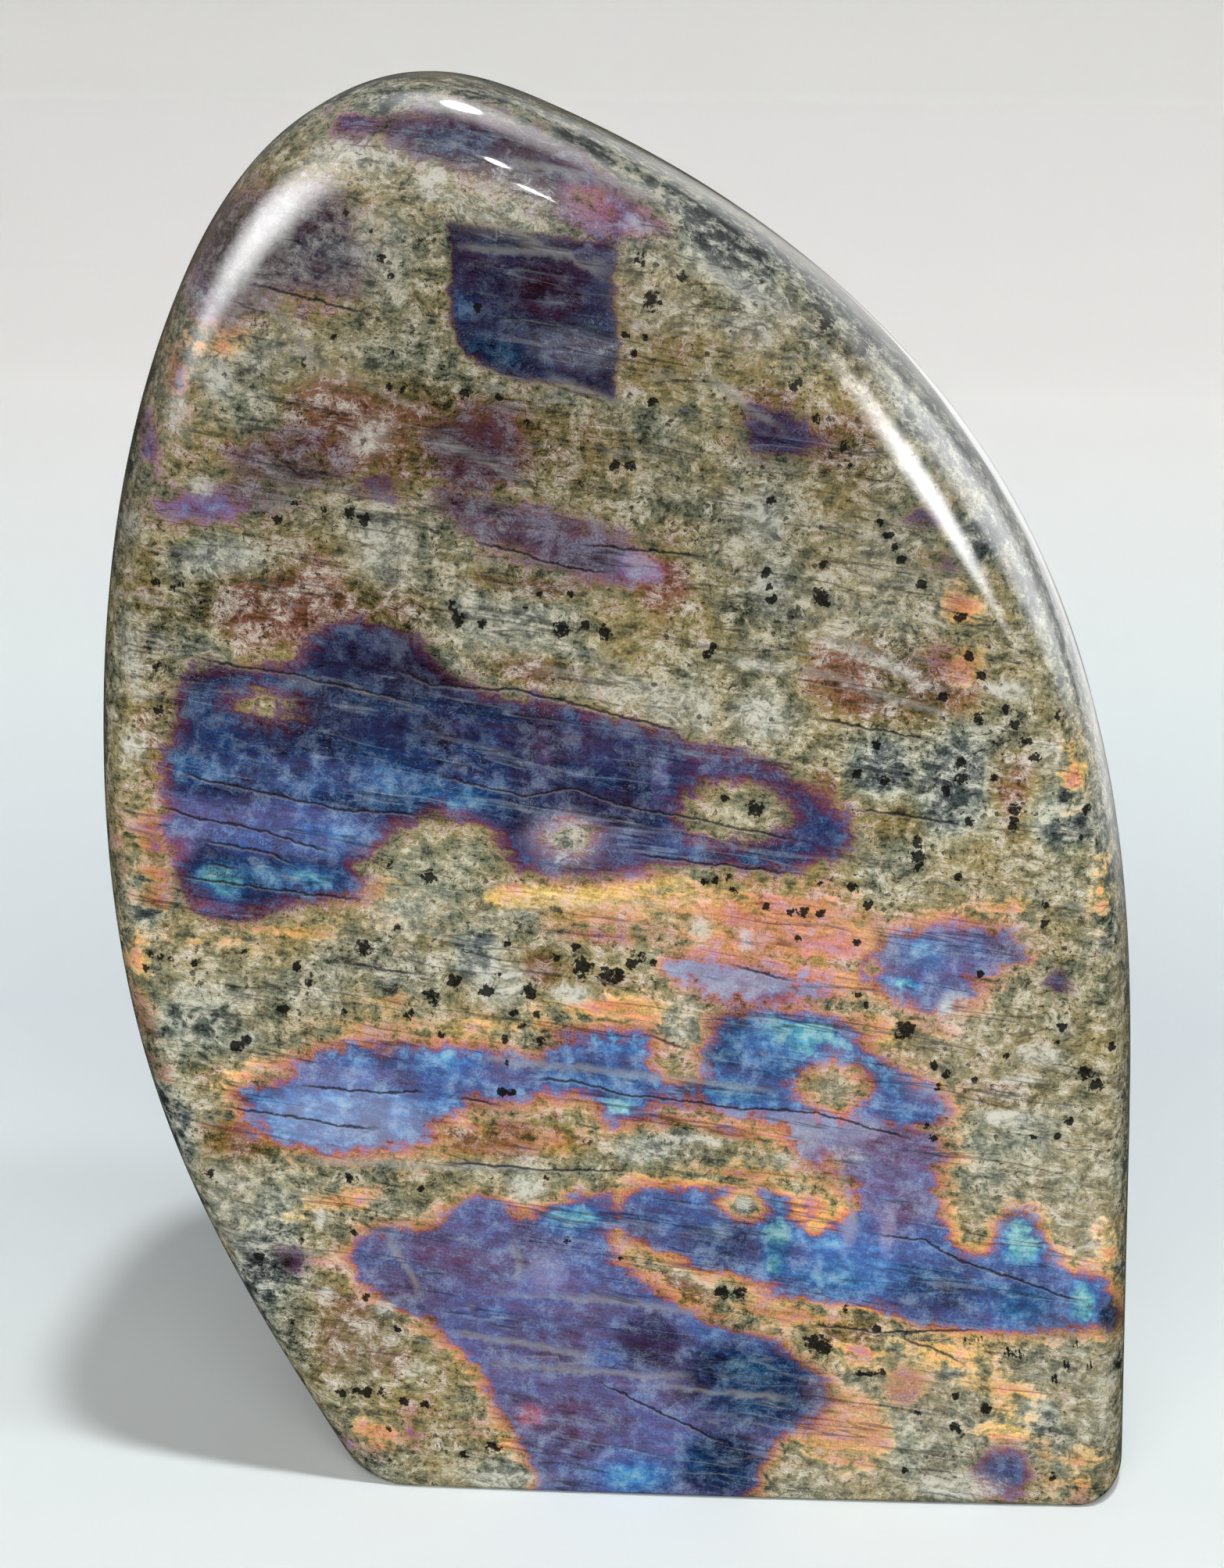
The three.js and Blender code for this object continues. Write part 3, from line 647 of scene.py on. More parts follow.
# %% Clouds
# middle x and z, half axes, lean, whiteness
CLOUDS = [
    (-26, 152.8, 6, 1.5, -10, 0.9), (-19, 150, 1.8, 2.4, 0, 0.95), (-12, 148.5, 7, 3.6, -10, 0.72),
    (-4, 133, 5, 2, -5, 0.4), (3, 139, 4, 5, 0, 0.42), (13.8, 134.6, 3, 2.6, 0, 0.75),
    (13, 139.5, 8, 1.6, -28, 0.7), (-24.5, 144, 3, 4.4, 0, 0.62), (-42, 129.5, 1.8, 2.2, 0, 1),
    (-46, 125, 1.4, 2.6, 10, 0.8), (-26, 123.4, 2.3, 1.9, 20, 0.85), (-33, 134, 1, 5, 30, 0.5),
    (-44, 117.8, 1.6, 1.2, 0, 0.9), (-42, 110, 4, 1.8, 0, 0.6), (-25, 112.5, 3.2, 4.6, 10, 0.7),
    (15, 115, 2.4, 3.4, 0, 0.8), (16, 108, 1.8, 3, 0, 0.75), (15.2, 94, 3, 2.2, -20, 0.85),
    (15, 99.5, 3.2, 0.8, -8, 0.7), (2.5, 95.8, 7, 2.2, -14, 0.72), (9, 94, 1.3, 2.4, 0, 0.95),
    (26.5, 100.5, 7, 0.8, -20, 0.85), (41, 97.2, 2.3, 1.2, -10, 0.95), (45.5, 90, 1.8, 2.2, 0, 0.8),
    (-12, 103, 6, 3.4, 0, 0.5), (-51.5, 113.5, 1.2, 1.8, 0, 0.7), (-52, 98, 1, 4, 3, 0.75),
    (-52.3, 89, 1.5, 1.6, 0, 0.95), (-5.5, 79.5, 3.6, 3.2, 0, 0.6), (-12, 71, 4, 0.9, 3, 0.5),
    (0, 72.5, 9, 0.7, 3, 0.55), (9, 69.6, 1.3, 1.8, 0, 0.8), (13.7, 68.6, 0.9, 1.7, 0, 0.8),
    (-5, 61.7, 2.4, 1.2, 0, 0.95), (-13, 63, 3.4, 3, 0, 0.85), (-22, 71.5, 4, 2.5, 10, 0.5),
    (36.5, 61, 1.8, 2.2, 0, 0.75), (44, 70, 1.5, 2, 0, 0.5), (45.7, 55.8, 2.9, 1.4, 0, 0.9),
    (44, 53, 2.4, 0.7, 0, 0.85), (42.6, 48.2, 3.3, 1.1, -8, 1), (42, 51.2, 2.2, 1, 0, 0.6),
    (48.3, 59.2, 1.2, 1.1, 0, 0.7), (-41.5, 55, 2, 1, 30, 0.8), (9, 45, 4.2, 0.7, -3, 0.9),
    (-10, 41.6, 2.4, 0.8, 0, 0.7), (18.5, 42.8, 2, 0.9, 0, 0.85), (-10, 38.6, 2.3, 1.7, 0, 1),
    (3, 43.5, 3.4, 1.6, 0, 0.55), (14, 37.3, 1.1, 1.1, 0, 1), (7, 59, 2.2, 3.4, 0, 0.62),
    (23.8, 51.6, 1.8, 1.7, 0, 0.55), (25, 43.5, 2.2, 1.6, 0, 0.55), (-20, 41, 14, 0.5, -1, 0.5),
    (-43, 35, 3, 5, 0, 0.5), (-33.4, 34, 0.7, 1.3, 0, 0.9), (-33, 24.6, 1, 0.9, 0, 0.85),
    (-26.5, 23, 1.4, 1, 0, 0.85), (-23, 15.6, 1.3, 1.2, 0, 0.8), (-29, 18, 4, 4, 0, 0.35),
    (-14, 2, 6.4, 1.3, 0, 0.7), (38.5, 3, 5.5, 2, 0, 0.9), (51, 35, 3.5, 5, 0, 0.62),
    (36, 12, 3, 3, 0, 0.35), (8, 28.2, 3, 0.8, -28, 0.6), (33, 11, 10, 8, 0, 0.42),
    (50, 14, 6, 9, 0, 0.42), (46, 42, 8, 8, 0, 0.36), (38, 56, 8, 6, 0, 0.34), (26, 3, 8, 3, 0, 0.4),
    (27, 108, 7, 7, -20, 0.36), (24, 54, 1.6, 4, 0, 0.3), (30, 69, 6, 3, 0, 0.3),
    (-34, 131, 8, 3, -8, 0.36), (34, 108, 1.6, 3, -20, 0.4), (-34, 96.6, 2, 0.8, -5, 0.45),
    (12.5, 83, 2.4, 1.6, 0, 0.35), (-36, 138, 2, 3, 30, 0.35),
]
print(f"{len(CLOUDS)} clouds")

# %% [markdown]
# ### Specks, cracks and seams
#
# The black specks are ilmenite, an iron ore that grew in the feldspar. They sit in clusters, so a drawn
# place here is a seed that the shader breaks into crumbs. Cracks and healed seams run the same way across
# the whole stone, a few degrees down to the right. Each is a line of points, from one end to the other.

# %% Black specks
# radius in millimetres: the places of the specks of that size, x and z
SPECKS = {
    0.4: [
        (11.5, 135.3), (-25.5, 145), (-32.8, 131), (-8.3, 106.7), (-5, 107), (-9.8, 105.5), (-46.5, 106.8),
        (12, 75.8), (47.8, 57.5), (42.3, 55.7), (-8, 39.8), (-11.4, 38.2)],
    0.5: [
        (1.5, 132.5), (0.7, 134.3), (2.8, 134.3), (14.3, 135), (-28, 147), (-24.5, 142), (-23.5, 140.2),
        (-29.5, 133.8), (-22.5, 128.3), (-12.5, 127.7), (-9.5, 125), (24, 121), (-17.5, 105.5),
        (15.8, 108), (10, 101.5), (9.5, 100.6), (-47.3, 106.5), (-34, 116), (11.5, 84.7), (9.3, 75.2),
        (10.6, 75.5), (12.5, 74.3), (16, 72.5), (18.6, 72), (19.5, 69), (21.7, 75.2), (-51.5, 65),
        (-50.3, 64.7), (-49.1, 64.5), (-46.5, 64.2), (-41, 65.7), (-52, 63.3), (-30, 59), (-24, 69),
        (-26, 77), (-13, 64), (-6.7, 66), (3.8, 65.7), (-12, 67.5), (-10.5, 58), (-8.8, 59.3),
        (-12.2, 53.5), (-19.4, 56.7), (49.5, 81), (39.2, 65.2), (26, 62.5), (27, 61.5), (35, 52),
        (39, 52.8), (34.8, 45.8), (48.2, 46.3), (45.7, 46.2), (-22, 38), (-29.7, 32.3), (0.3, 30.2),
        (-5.7, 32.2), (27.2, 16.8), (28.4, 16.8), (25.5, 24.7), (39.2, 21.3), (40.5, 21.3), (53, 18.7),
        (56, 18.8), (51.3, 21.2), (34, 12), (32.5, 4.7), (-26.3, 7.7), (-28.5, 24.3), (-37, 21),
        (-35.7, 31), (-25, 20.5)],
    0.6: [
        (3.5, 127.5), (-14.5, 137), (-24, 128.5), (-16, 128), (-0.5, 120.8), (1.3, 120.7), (20.5, 126),
        (23.5, 123), (-14.5, 103.5), (-3.5, 103.5), (15.5, 109.5), (16.2, 106.8), (16, 117.3),
        (-49.2, 107.2), (-36, 114.5), (-31, 115.5), (-49.5, 98), (-49.5, 93), (21.8, 71.9), (25.2, 75),
        (27, 73), (25.8, 68.7), (-35.2, 64.1), (-33.8, 62.3), (-24.8, 76.3), (-20, 60.5), (-4.6, 67.2),
        (-11.5, 59.5), (-8.5, 56.2), (-12.5, 56.2), (-12.8, 50), (-11.6, 50), (27.3, 115), (28.1, 113.7),
        (28.9, 112.4), (29.7, 111.2), (31.7, 108.5), (21.5, 110.5), (37, 101), (38.3, 98.7), (34.3, 96.3),
        (41, 95), (44.3, 89.8), (46.5, 94.5), (40, 87.5), (28.5, 87), (27.5, 91), (35, 86), (37.5, 82.5),
        (32.2, 77.3), (49.8, 84.2), (36.5, 76.3), (46, 73.3), (46, 71.2), (36, 53.3), (34.5, 54.5),
        (34, 47.2), (48.3, 59.2), (53.7, 57.2), (49.5, 48), (-30, 39), (-45.8, 39), (29.7, 17), (29, 22.3),
        (43.6, 20), (45, 20), (50.3, 18.7), (49.2, 16.8), (38.6, 9.7), (38, 14.3), (49.3, 4.5),
        (-27, 12.5), (-17.7, 5), (-40.5, 29), (-24.5, 11.3), (-22, 11)],
    0.7: [
        (6.5, 140.5), (20, 72.1), (-22.8, 59), (-41, 55.2), (1.5, 65.6), (2.6, 66.3), (36, 105),
        (38.2, 94), (42, 93.4), (43.2, 91.5), (25.5, 87.6), (-31.5, 12.2), (-30, 12.3), (-28.5, 12.5)],
    0.8: [
        (2.2, 142.5), (18.3, 129.5), (-28.3, 115.2), (-26.8, 114.5), (0, 64.3), (36.5, 89), (36.6, 87.4),
        (42.3, 84), (42.3, 82.4), (32, 80.2), (13.7, 26.3), (41.5, 12.9)],
    0.9: [
        (25, 133.3), (-17, 103.8), (-1.4, 102.8), (-27.7, 66.5), (-20.5, 75), (-20.5, 61.3), (-37, 59),
        (-42.3, 54.4), (-18, 63), (-14.3, 62), (-9.6, 62), (32.2, 78.6), (51, 53.9), (11.7, 26.5),
        (38, 10.3), (-14.3, 6)],
    1.0: [
        (21.2, 136), (-6, 103), (14.7, 83.6), (52.2, 52.6)],
    1.1: [
        (3.5, 138), (-1.3, 64), (21.5, 107), (31.3, 58.5), (22, 20.6)],
    1.2: [
        (-3.8, 65), (23, 19.8)],
}
front_specks = [(x, z, radius) for radius, places in SPECKS.items() for x, z in places]
print(f"{len(front_specks)} specks")

# %% Cracks and seams
CRACKS = [
    [(-45.5, 99), (-40, 98), (-34.5, 97.5), (-28, 96), (-20, 94.3)],
    [(-24, 98.5), (-20, 96.7), (-14, 96.3), (-10, 96.2), (-5, 95), (0, 93.7), (7.5, 92)],
    [(-48, 86), (-40, 84.5), (-30, 82.5), (-20, 82)],
    [(-20, 86.7), (-10, 84.5), (-5, 85.5), (0, 83.8), (10, 82), (20, 80)],
    [(-51, 82.5), (-46, 81), (-40, 80), (-30, 77.3)], [(-46, 78.6), (-38, 77.2), (-34, 75.4)],
    [(-49, 74.5), (-44, 73.7), (-32, 72.5), (-27, 72.3)], [(-46, 76), (-40, 75)],
    [(1, 78.3), (10, 77.3), (20, 76.3)], [(11.5, 66), (20, 63.7)], [(-36, 50), (-28, 49.6), (-20, 49.7)],
    [(-45, 47.3), (-30, 45.3), (-26, 45)],
    [(-10, 51.8), (-5, 51.7), (0, 50.3), (14, 48.8), (22, 48.6), (33, 45.3)], [(-19, 49.3), (-12, 48.3)],
    [(28, 34), (34, 33.5), (38, 31), (43, 29.5), (50, 27), (53, 26.6)], [(20, 22.7), (30, 22), (41, 22.7)],
    [(30, 22), (37, 19.5), (40, 17.8)], [(-3, 15), (4, 11.5), (7, 10), (13, 7)],
    [(-16, 112.8), (-5, 109.7), (0, 109.3)], [(-5, 112.5), (10, 111)], [(-39, 139.5), (-25, 136)],
    [(-20, 41.3), (-8, 40.8), (2, 41)], [(2, 57.6), (9, 55.4)], [(-31, 64.8), (-20, 63.6)],
    [(20, 94), (34, 91.5)], [(24, 84), (38, 82)],
]

SEAMS = [
    [(-12, 152.3), (5, 149)], [(-6, 149), (5, 148.5)], [(-17, 147.5), (-10, 144.5), (0, 139.8)],
    [(-17.5, 143.4), (-6, 142.8), (-0.5, 141.8)], [(-34.8, 141), (-33.3, 147.3), (-33.5, 150)],
    [(-41, 133), (-37, 142.5), (-33.3, 147.3), (-27, 150)], [(-38, 139), (-33, 133), (-30, 128)],
    [(8, 142), (19, 136)], [(-5, 116.5), (0, 113.5)], [(20, 103.5), (26, 101.5), (32, 97.5), (36, 96.5)],
    [(-15, 25.2), (-8, 25.3), (0, 24.8), (9, 23.6), (11, 23.2)], [(-20, 20.3), (-10, 19), (-2, 17.5)],
    [(-16, 16.7), (0, 15.7), (9, 15.7)], [(3, 14.5), (20, 13.3)], [(-36, 40.8), (-8, 40.8)],
    [(-20, 124), (-9, 118.5)], [(-33, 131.5), (-20, 126)], [(8, 131), (18, 124)],
    [(-8, 130.5), (2, 126.5)], [(17, 100), (40, 92.5)], [(-16, 54), (2, 52.6), (18, 51)],
    [(22, 144), (34, 131)], [(30, 134.5), (41, 119)], [(-12, 33), (-11, 29), (-11.5, 24)],
    [(24, 44), (27, 33)], [(-26, 33), (-22, 24)],
]
print(f"{len(CRACKS)} cracks, {len(SEAMS)} seams")

# %% [markdown]
# ### From drawings to numbers on the skin
#
# The drawings lie on the plane of the show face, and the rounded shoulders fall away behind it. Each
# point of the skin is looked up in the plane where the line from it to the eye crosses, so a marking runs
# on over a shoulder without a break. Near the widest section the front's drawings give way to the back's,
# which are made by a seeded draw in the same manner. One class gathers the numbers for either side, so
# both get the same rules.

# %% Where the drawings lie
EYE_X, EYE_Z, EYE_AWAY = 25.2, 206.3, 370.0  # the eye's place, and how far it is in front of the plane
PLANE_Y = -26.7
HAND_OVER = (-14, -4)  # the front's drawings give way to the back's between these y
mesh_x, mesh_y, mesh_z = skin.T
behind = np.maximum(mesh_y - PLANE_Y, 0)
slant = behind / (EYE_AWAY + behind)
draw_x = mesh_x + (EYE_X - mesh_x) * slant
draw_z = mesh_z + (EYE_Z - mesh_z) * slant
is_front = 1 - smooth(*HAND_OVER, mesh_y)
print(f"{np.mean(is_front > 0.5):.0%} of the points take the front's drawings")

# %% Gather the numbers
RIM = 1.1  # millimetres that a zone's orange rim lies outside its drawn edge, at full fire
ISLAND_SOFT = 1.2  # softness of an island's edge in millimetres
MERGE = 1.6  # how sharply the deeper of two zones wins, per millimetre
TOUCH_FADE = (0.45, 1.35)  # a touch is full inside the first share of its oval and gone past the second
CLOUD_SPREAD = 1.15
FAINT = 1e-6  # weight of the numbers that count where there is no zone


class Drawing:
    """Numbers for every point of the skin, gathered from zones, islands, touches and specks."""

    def __init__(self, x, z):
        self.x, self.z = x, z
        n = len(x)
        self.depth = np.full(n, -FAR)
        self.weight = np.full(n, FAINT)
        # Far from every zone these are the numbers, which a frayed edge may still reach
        self.order = 0.4 * self.weight
        self.glow = 0.7 * self.weight
        self.fire = 0.5 * self.weight
        self.soft = 1.5 * self.weight
        self.tone = np.full(n, 0.5)
        self.milk = np.zeros(n)
        self.speck = np.zeros(n)

    def add(self, depth, order, glow, fire, soft):
        """A zone: the deepest one decides, and near a border between two their colours mix."""
        say = np.exp(np.clip(depth, -FAR, FAR) * MERGE)
        self.weight += say
        self.order += say * order
        self.glow += say * glow
        self.fire += say * fire
        self.soft += say * soft
        self.depth = np.maximum(self.depth, depth)

    def flashes(self, zones, islands):
        for order, glow, fire, soft, line in zones.values():
            self.add(depth_inside(rounded(line), self.x, self.z) + RIM * fire, order, glow, fire, soft)
        for x, z, a, b, lean, order, glow, fire in islands:
            depth = oval_depth(self.x, self.z, (x, z), (a, b), lean)
            self.add(np.maximum(depth, -FAR), order, glow, fire, ISLAND_SOFT)
        for name in ("order", "glow", "fire", "soft"):
            setattr(self, name, getattr(self, name) / self.weight)

    def soft_oval(self, x, z, a, b, lean):
        """1 in the middle of an oval, 0 outside it."""
        return 1 - smooth(*TOUCH_FADE, out_of_oval(self.x, self.z, (x, z), (a, b), lean))

    def touches(self, touches):
        for *oval, order, glow, share in touches:
            pull = share * self.soft_oval(*oval)
            self.order += pull * (order - self.order)
            self.glow += pull * (glow - self.glow)

    def holes(self, holes):
        for x, z, a, b, lean in holes:
            self.depth = np.minimum(self.depth, -oval_depth(self.x, self.z, (x, z), (a, b), lean))

    def host(self, touches, clouds):
        for *oval, tone, share in touches:
            self.tone += share * self.soft_oval(*oval) * (tone - self.tone)
        for x, z, a, b, lean, white in clouds:
            cloud = white * self.soft_oval(x, z, a * CLOUD_SPREAD, b * CLOUD_SPREAD, lean)
            self.milk = np.maximum(self.milk, cloud)

    def seeds(self, specks):
        """A cone on each speck: 1 in its middle and a half at its radius."""
        for x, z, radius in specks:
            apart = np.sqrt((self.x - x) ** 2 + (self.z - z) ** 2)
            self.speck = np.maximum(self.speck, 1 - 0.5 * apart / radius)


# %% [markdown]
# ### Thin lines
#
# A crack is thinner than one square of the skin, so its colour can't be kept on the points. Its distance
# can, and the shader then draws the line where that distance is 0, as thin as it likes.

# %% Thin lines
NO_LINE = 9.0  # a distance that no line's width reaches
BESIDE = (0.9, 1.6)  # a line stops counting between these distances from it
PAST_END = (-3.0, 0.3)  # and between these distances past its end
LINE_STEPS = 40


def line_field(lines, x, z):
    """Two numbers for thin lines: the signed distance to a line, and how much that line counts at a place.

    The distance changes its sign across the line, so it stays straight between two points of the skin,
    which a plain distance would not. It runs on past the line's ends, and the second number cuts it there.
    """
    signed, near, best = np.full(len(x), NO_LINE), np.zeros(len(x)), np.zeros(len(x))
    for line in lines:
        first, last = line[0], line[-1]
        flat = abs(last[0] - first[0]) >= abs(last[1] - first[1])
        points = sorted(line) if flat else sorted((b, a) for a, b in line)
        run, off = (x, z) if flat else (z, x)
        a, b = np.array(points, float).T
        even = np.linspace(a[0], a[-1], LINE_STEPS)
        slope = np.gradient(np.interp(even, a, b), even)
        inside = np.clip(run, a[0], a[-1])
        lean = np.interp(inside, even, slope)
        away = (off - np.interp(inside, a, b) - lean * (run - inside)) / np.sqrt(1 + lean**2)
        past = np.maximum(a[0] - run, run - a[-1])
        counts = (1 - smooth(*BESIDE, np.abs(away))) * (1 - smooth(*PAST_END, past))
        rank = counts * (2 - np.abs(away))
        signed = np.where(rank > best, away, signed)
        near = np.where(rank > best, counts, near)
        best = np.maximum(best, rank)
    return signed, near


# %% The front
front = Drawing(draw_x, draw_z)
front.flashes(FLASH_ZONES, FLASH_OVALS)
front.touches(FLASH_TOUCHES)
front.holes(HOLES)
front.host(HOST_TOUCHES, CLOUDS)
front.seeds(front_specks)
print(f"front drawn: {np.mean(front.depth[is_front > 0.5] > 0):.0%} of it flashes")

# %% [markdown]
# ### The back
#
# The photograph shows only the front, so the back is free. It is the same rock: long zones, blue or
# violet inside, with islands, clouds and specks between. A seeded draw places them, so that the stone is
# the same each time the script runs.

# %% The back's zones and islands
draw = random.Random(19)
GRAIN = -8.0  # degrees: the grain runs down to the right, as seen from the front


def back_zone():
    """A long blob that leans down to the right as seen from behind.

    It is an oval whose edge is pulled in and out in twelve places.
    """
    x, z = draw.uniform(-42, 42), draw.uniform(8, 148)
    long, high = draw.uniform(12, 26), draw.uniform(4, 10)
    lean = math.radians(-GRAIN + draw.uniform(-6, 6))
    c, s = math.cos(lean), math.sin(lean)
    line = []
    for k in range(12):
        angle = 2 * math.pi * k / 12
        pull = draw.uniform(0.7, 1.15)
        a, b = long * pull * math.cos(angle), high * pull * math.sin(angle)
        line.append((x + a * c - b * s, z + a * s + b * c))
    order = draw.choice([0.45, 0.55, 0.62, 0.7, 0.76])
    return order, draw.uniform(0.5, 1.0), draw.uniform(0.1, 0.9), draw.uniform(0.8, 2.4), line


def drawn_once(way):
    """A pair is a range to draw from, a list is a choice, and a number is only itself."""
    if isinstance(way, tuple):
        return draw.uniform(*way)
    return draw.choice(way) if isinstance(way, list) else way


def scattered(count, *ways):
    """Rows of numbers, each number drawn in its own way."""
    return [tuple(drawn_once(way) for way in ways) for _ in range(count)]


ISLAND_ORDERS = [0.05, 0.1, 0.14, 0.3, 0.6, 0.85]
TOUCH_ORDERS = [0.42, 0.55, 0.66, 0.78, 0.9]
back_zones = {f"back {k}": back_zone() for k in range(11)}
# Middle x and z, half axes and lean, then what the front's lists have
back_islands = scattered(
    36, (-50, 50), (4, 150), (1.5, 5), (0.8, 2), (0, 14), ISLAND_ORDERS, (0.6, 1.1), 1.0
)
back_touches = scattered(
    60, (-50, 50), (4, 150), (3, 9), (2, 4), (0, 14), TOUCH_ORDERS, (0.4, 1.1), 0.85
)
back_tones = scattered(50, (-55, 55), (0, 155), (4, 12), (2, 5), (-5, 15), (0.05, 0.9), 0.7)
back_clouds = scattered(46, (-55, 55), (0, 155), (2.4, 6), (1.8, 2.8), (0, 25), (0.5, 0.95))
print(f"back: {len(back_zones)} zones, {len(back_islands)} islands, {len(back_clouds)} clouds")

# %% The back's specks and lines
CLUSTERS = 46
LINE_TRIES = 22
BACK_GAP = 3.6  # millimetres; of two nearer lines the second is left out, because they would share points
back_specks = []
for _ in range(CLUSTERS):
    x, z = draw.uniform(-52, 52), draw.uniform(4, 150)
    for _ in range(draw.randint(1, 6)):
        back_specks.append((x + draw.gauss(0, 2), z + draw.gauss(0, 1.6), draw.uniform(0.5, 1.1)))


def gap_between(one, other):
    """The smallest distance between two lines in millimetres, from thirty points of each."""
    dense = []
    for line in (one, other):
        x, z = np.array(line).T
        even = np.linspace(x[0], x[-1], 30)
        dense.append(even + 1j * np.interp(even, x, z))
    return np.abs(dense[0][:, None] - dense[1]).min()


back_cracks, back_seams = [], []
for lines in (back_cracks, back_seams):
    for _ in range(LINE_TRIES):
        x, z = draw.uniform(-50, 30), draw.uniform(10, 150)
        line = [(x, z)]
        for _ in range(draw.randint(2, 4)):
            x += draw.uniform(4, 9)
            z += draw.uniform(-0.2, 0.35) * 6
            line.append((x, z))
        if all(gap_between(line, other) > BACK_GAP for other in lines):
            lines.append(line)
print(f"{len(back_specks)} specks, {len(back_cracks)} cracks, {len(back_seams)} seams")

# %% The back
back = Drawing(mesh_x, mesh_z)
back.flashes(back_zones, back_islands)
back.touches(back_touches)
back.host(back_tones, back_clouds)
back.seeds(back_specks)
print(f"back drawn: {np.mean(back.depth[is_front < 0.5] > 0):.0%} of it flashes")


# %% Put the numbers on the skin
def mixed(name):
    """One of the drawings' numbers, the front's in front and the back's behind."""
    return is_front * getattr(front, name) + (1 - is_front) * getattr(back, name)


def keep(name, *columns):
    """Three smooth numbers for each point, under one name."""
    layer = stone_mesh.attributes.new(name, "FLOAT_VECTOR", "POINT")
    layer.data.foreach_set("vector", np.column_stack(columns).astype(np.float32).ravel())
    ranges = ", ".join(f"{column.min():.1f} to {column.max():.1f}" for column in columns)
    print(f"{name}, kept on each point: {ranges}")


def both_sides(front_lines, back_lines):
    """The thin lines of the front in front and of the back behind."""
    sides = line_field(front_lines, draw_x, draw_z), line_field(back_lines, mesh_x, mesh_z)
    return [np.where(is_front > 0.5, ahead, astern) for ahead, astern in zip(*sides)]


crack_away, crack_counts = both_sides(CRACKS, back_cracks)
seam_away, seam_counts = both_sides(SEAMS, back_seams)
turnover = np.abs(is_front - 0.5) * 2  # lines fade where the front's drawings hand over to the back's
keep("flash", mixed("depth"), mixed("order"), mixed("glow"))
keep("host", mixed("fire"), mixed("tone"), mixed("milk"))
keep("cracks", crack_away, crack_counts * turnover, mixed("speck"))
keep("seams", seam_away, seam_counts * turnover, mixed("soft"))

# %% [markdown]
# ## Writing shader maths
#
# A stone like this needs a few hundred nodes, and nobody wants to read them as a drawing of wires. The
# class below wraps one socket, so that 1 - mask or height * 2 adds the Math node that it stands for.
# Colours and vectors have helpers of their own, because a Math node would turn them grey.


# %% A socket that can be reckoned with
class Wire:
    """An output socket of a node tree, written into sums as a number is."""

    def __init__(self, socket):
        self.socket = socket
        self.tree = socket.id_data

    def math(self, operation, *others):
        return maths(self.tree, operation, self, *others)

    def __add__(self, other):
        return self.math("ADD", other)

    def __sub__(self, other):
        return self.math("SUBTRACT", other)

    def __mul__(self, other):
        return self.math("MULTIPLY", other)

    def __truediv__(self, other):
        return self.math("DIVIDE", other)

    def __rsub__(self, other):
        return maths(self.tree, "SUBTRACT", other, self)

    __radd__ = __add__
    __rmul__ = __mul__

    def least(self, other):
        return self.math("MINIMUM", other)

    def most(self, other):
        return self.math("MAXIMUM", other)

    def size(self):
        return self.math("ABSOLUTE")

    def step(self, low, high):
        """A smooth step from 0 to 1, while this value goes from low to high."""
        return add_node(
            self.tree, "ShaderNodeMapRange", {"interpolation_type": "SMOOTHSTEP"}, "Result",
            Value=self, From_Min=low, From_Max=high,
        )


def join(tree, socket, value):
    """Gives an input socket a wire or a plain value."""
    if isinstance(value, Wire):
        tree.links.new(value.socket, socket)
    else:
        socket.default_value = value


def maths(tree, operation, *values):
    node = tree.nodes.new("ShaderNodeMath")
    node.operation = operation
    for socket, value in zip(node.inputs, values):
        join(tree, socket, value)
    return Wire(node.outputs[0])


def add_node(tree, kind, settings=None, out=0, **values):
    """Any other node: its settings, then values or wires for its sockets, named with _ for a space."""
    node = tree.nodes.new(kind)
    for name, value in (settings or {}).items():
        setattr(node, name, value)
    for name, value in values.items():
        found = [s for s in node.inputs if name in (s.identifier, s.name.replace(" ", "_"))]
        join(tree, next(s for s in found if s.enabled), value)
    return Wire(node.outputs[out])


# %% Colours and vectors
def parts(vector):
    """The three numbers of a vector or a colour."""
    split = add_node(vector.tree, "ShaderNodeSeparateXYZ", Vector=vector)
    return [Wire(socket) for socket in split.socket.node.outputs]


def scaled(vector, amount):
    """A vector made longer, or a colour made brighter, by a number."""
    scale = {"operation": "SCALE"}
    return add_node(vector.tree, "ShaderNodeVectorMath", scale, Vector=vector, Scale=amount)


def blend(share, first, second):
    """Two colours mixed: the first where the share is 0, the second where it is 1."""
    return add_node(
        share.tree, "ShaderNodeMix", {"data_type": "RGBA", "clamp_factor": True}, 2,
        Factor_Float=share, A_Color=first, B_Color=second,
    )


def ramp(at, stops):
    """A colour looked up between stops, which are pairs of a place and a colour, in order of place."""
    colour = add_node(at.tree, "ShaderNodeValToRGB", Fac=at)
    elements = colour.socket.node.color_ramp.elements
    while len(elements) < len(stops):
        elements.new(0.5)
    for element, (place, shade) in zip(elements, stops):
        element.position = place
        element.color = shade
    return colour


def paint(*picked):
    """A colour picked on a screen, red, green and blue from 0 to 255, as light."""
    return *(c / 255 / 12.92 if c <= 10 else ((c / 255 + 0.055) / 1.055) ** 2.4 for c in picked), 1


print("a middle grey on the screen is this much light:", [round(c, 3) for c in paint(128, 128, 128)])

# %% [markdown]
# ## The stone's finish
#
# The real surface is a mirror polish over a clear, cloudy depth. The colour work goes from the broad to
# the fine: where on the stone, host, flash, clouds, seams and cracks, the duller crest, specks, painted
# glints.
# Each layer is a mask and a colour, blended over the one before.

# %% Where on the stone
finish = bpy.data.materials.new("labradorite")
finish.use_nodes = True
tree = finish.node_tree
shader = tree.nodes["Principled BSDF"]


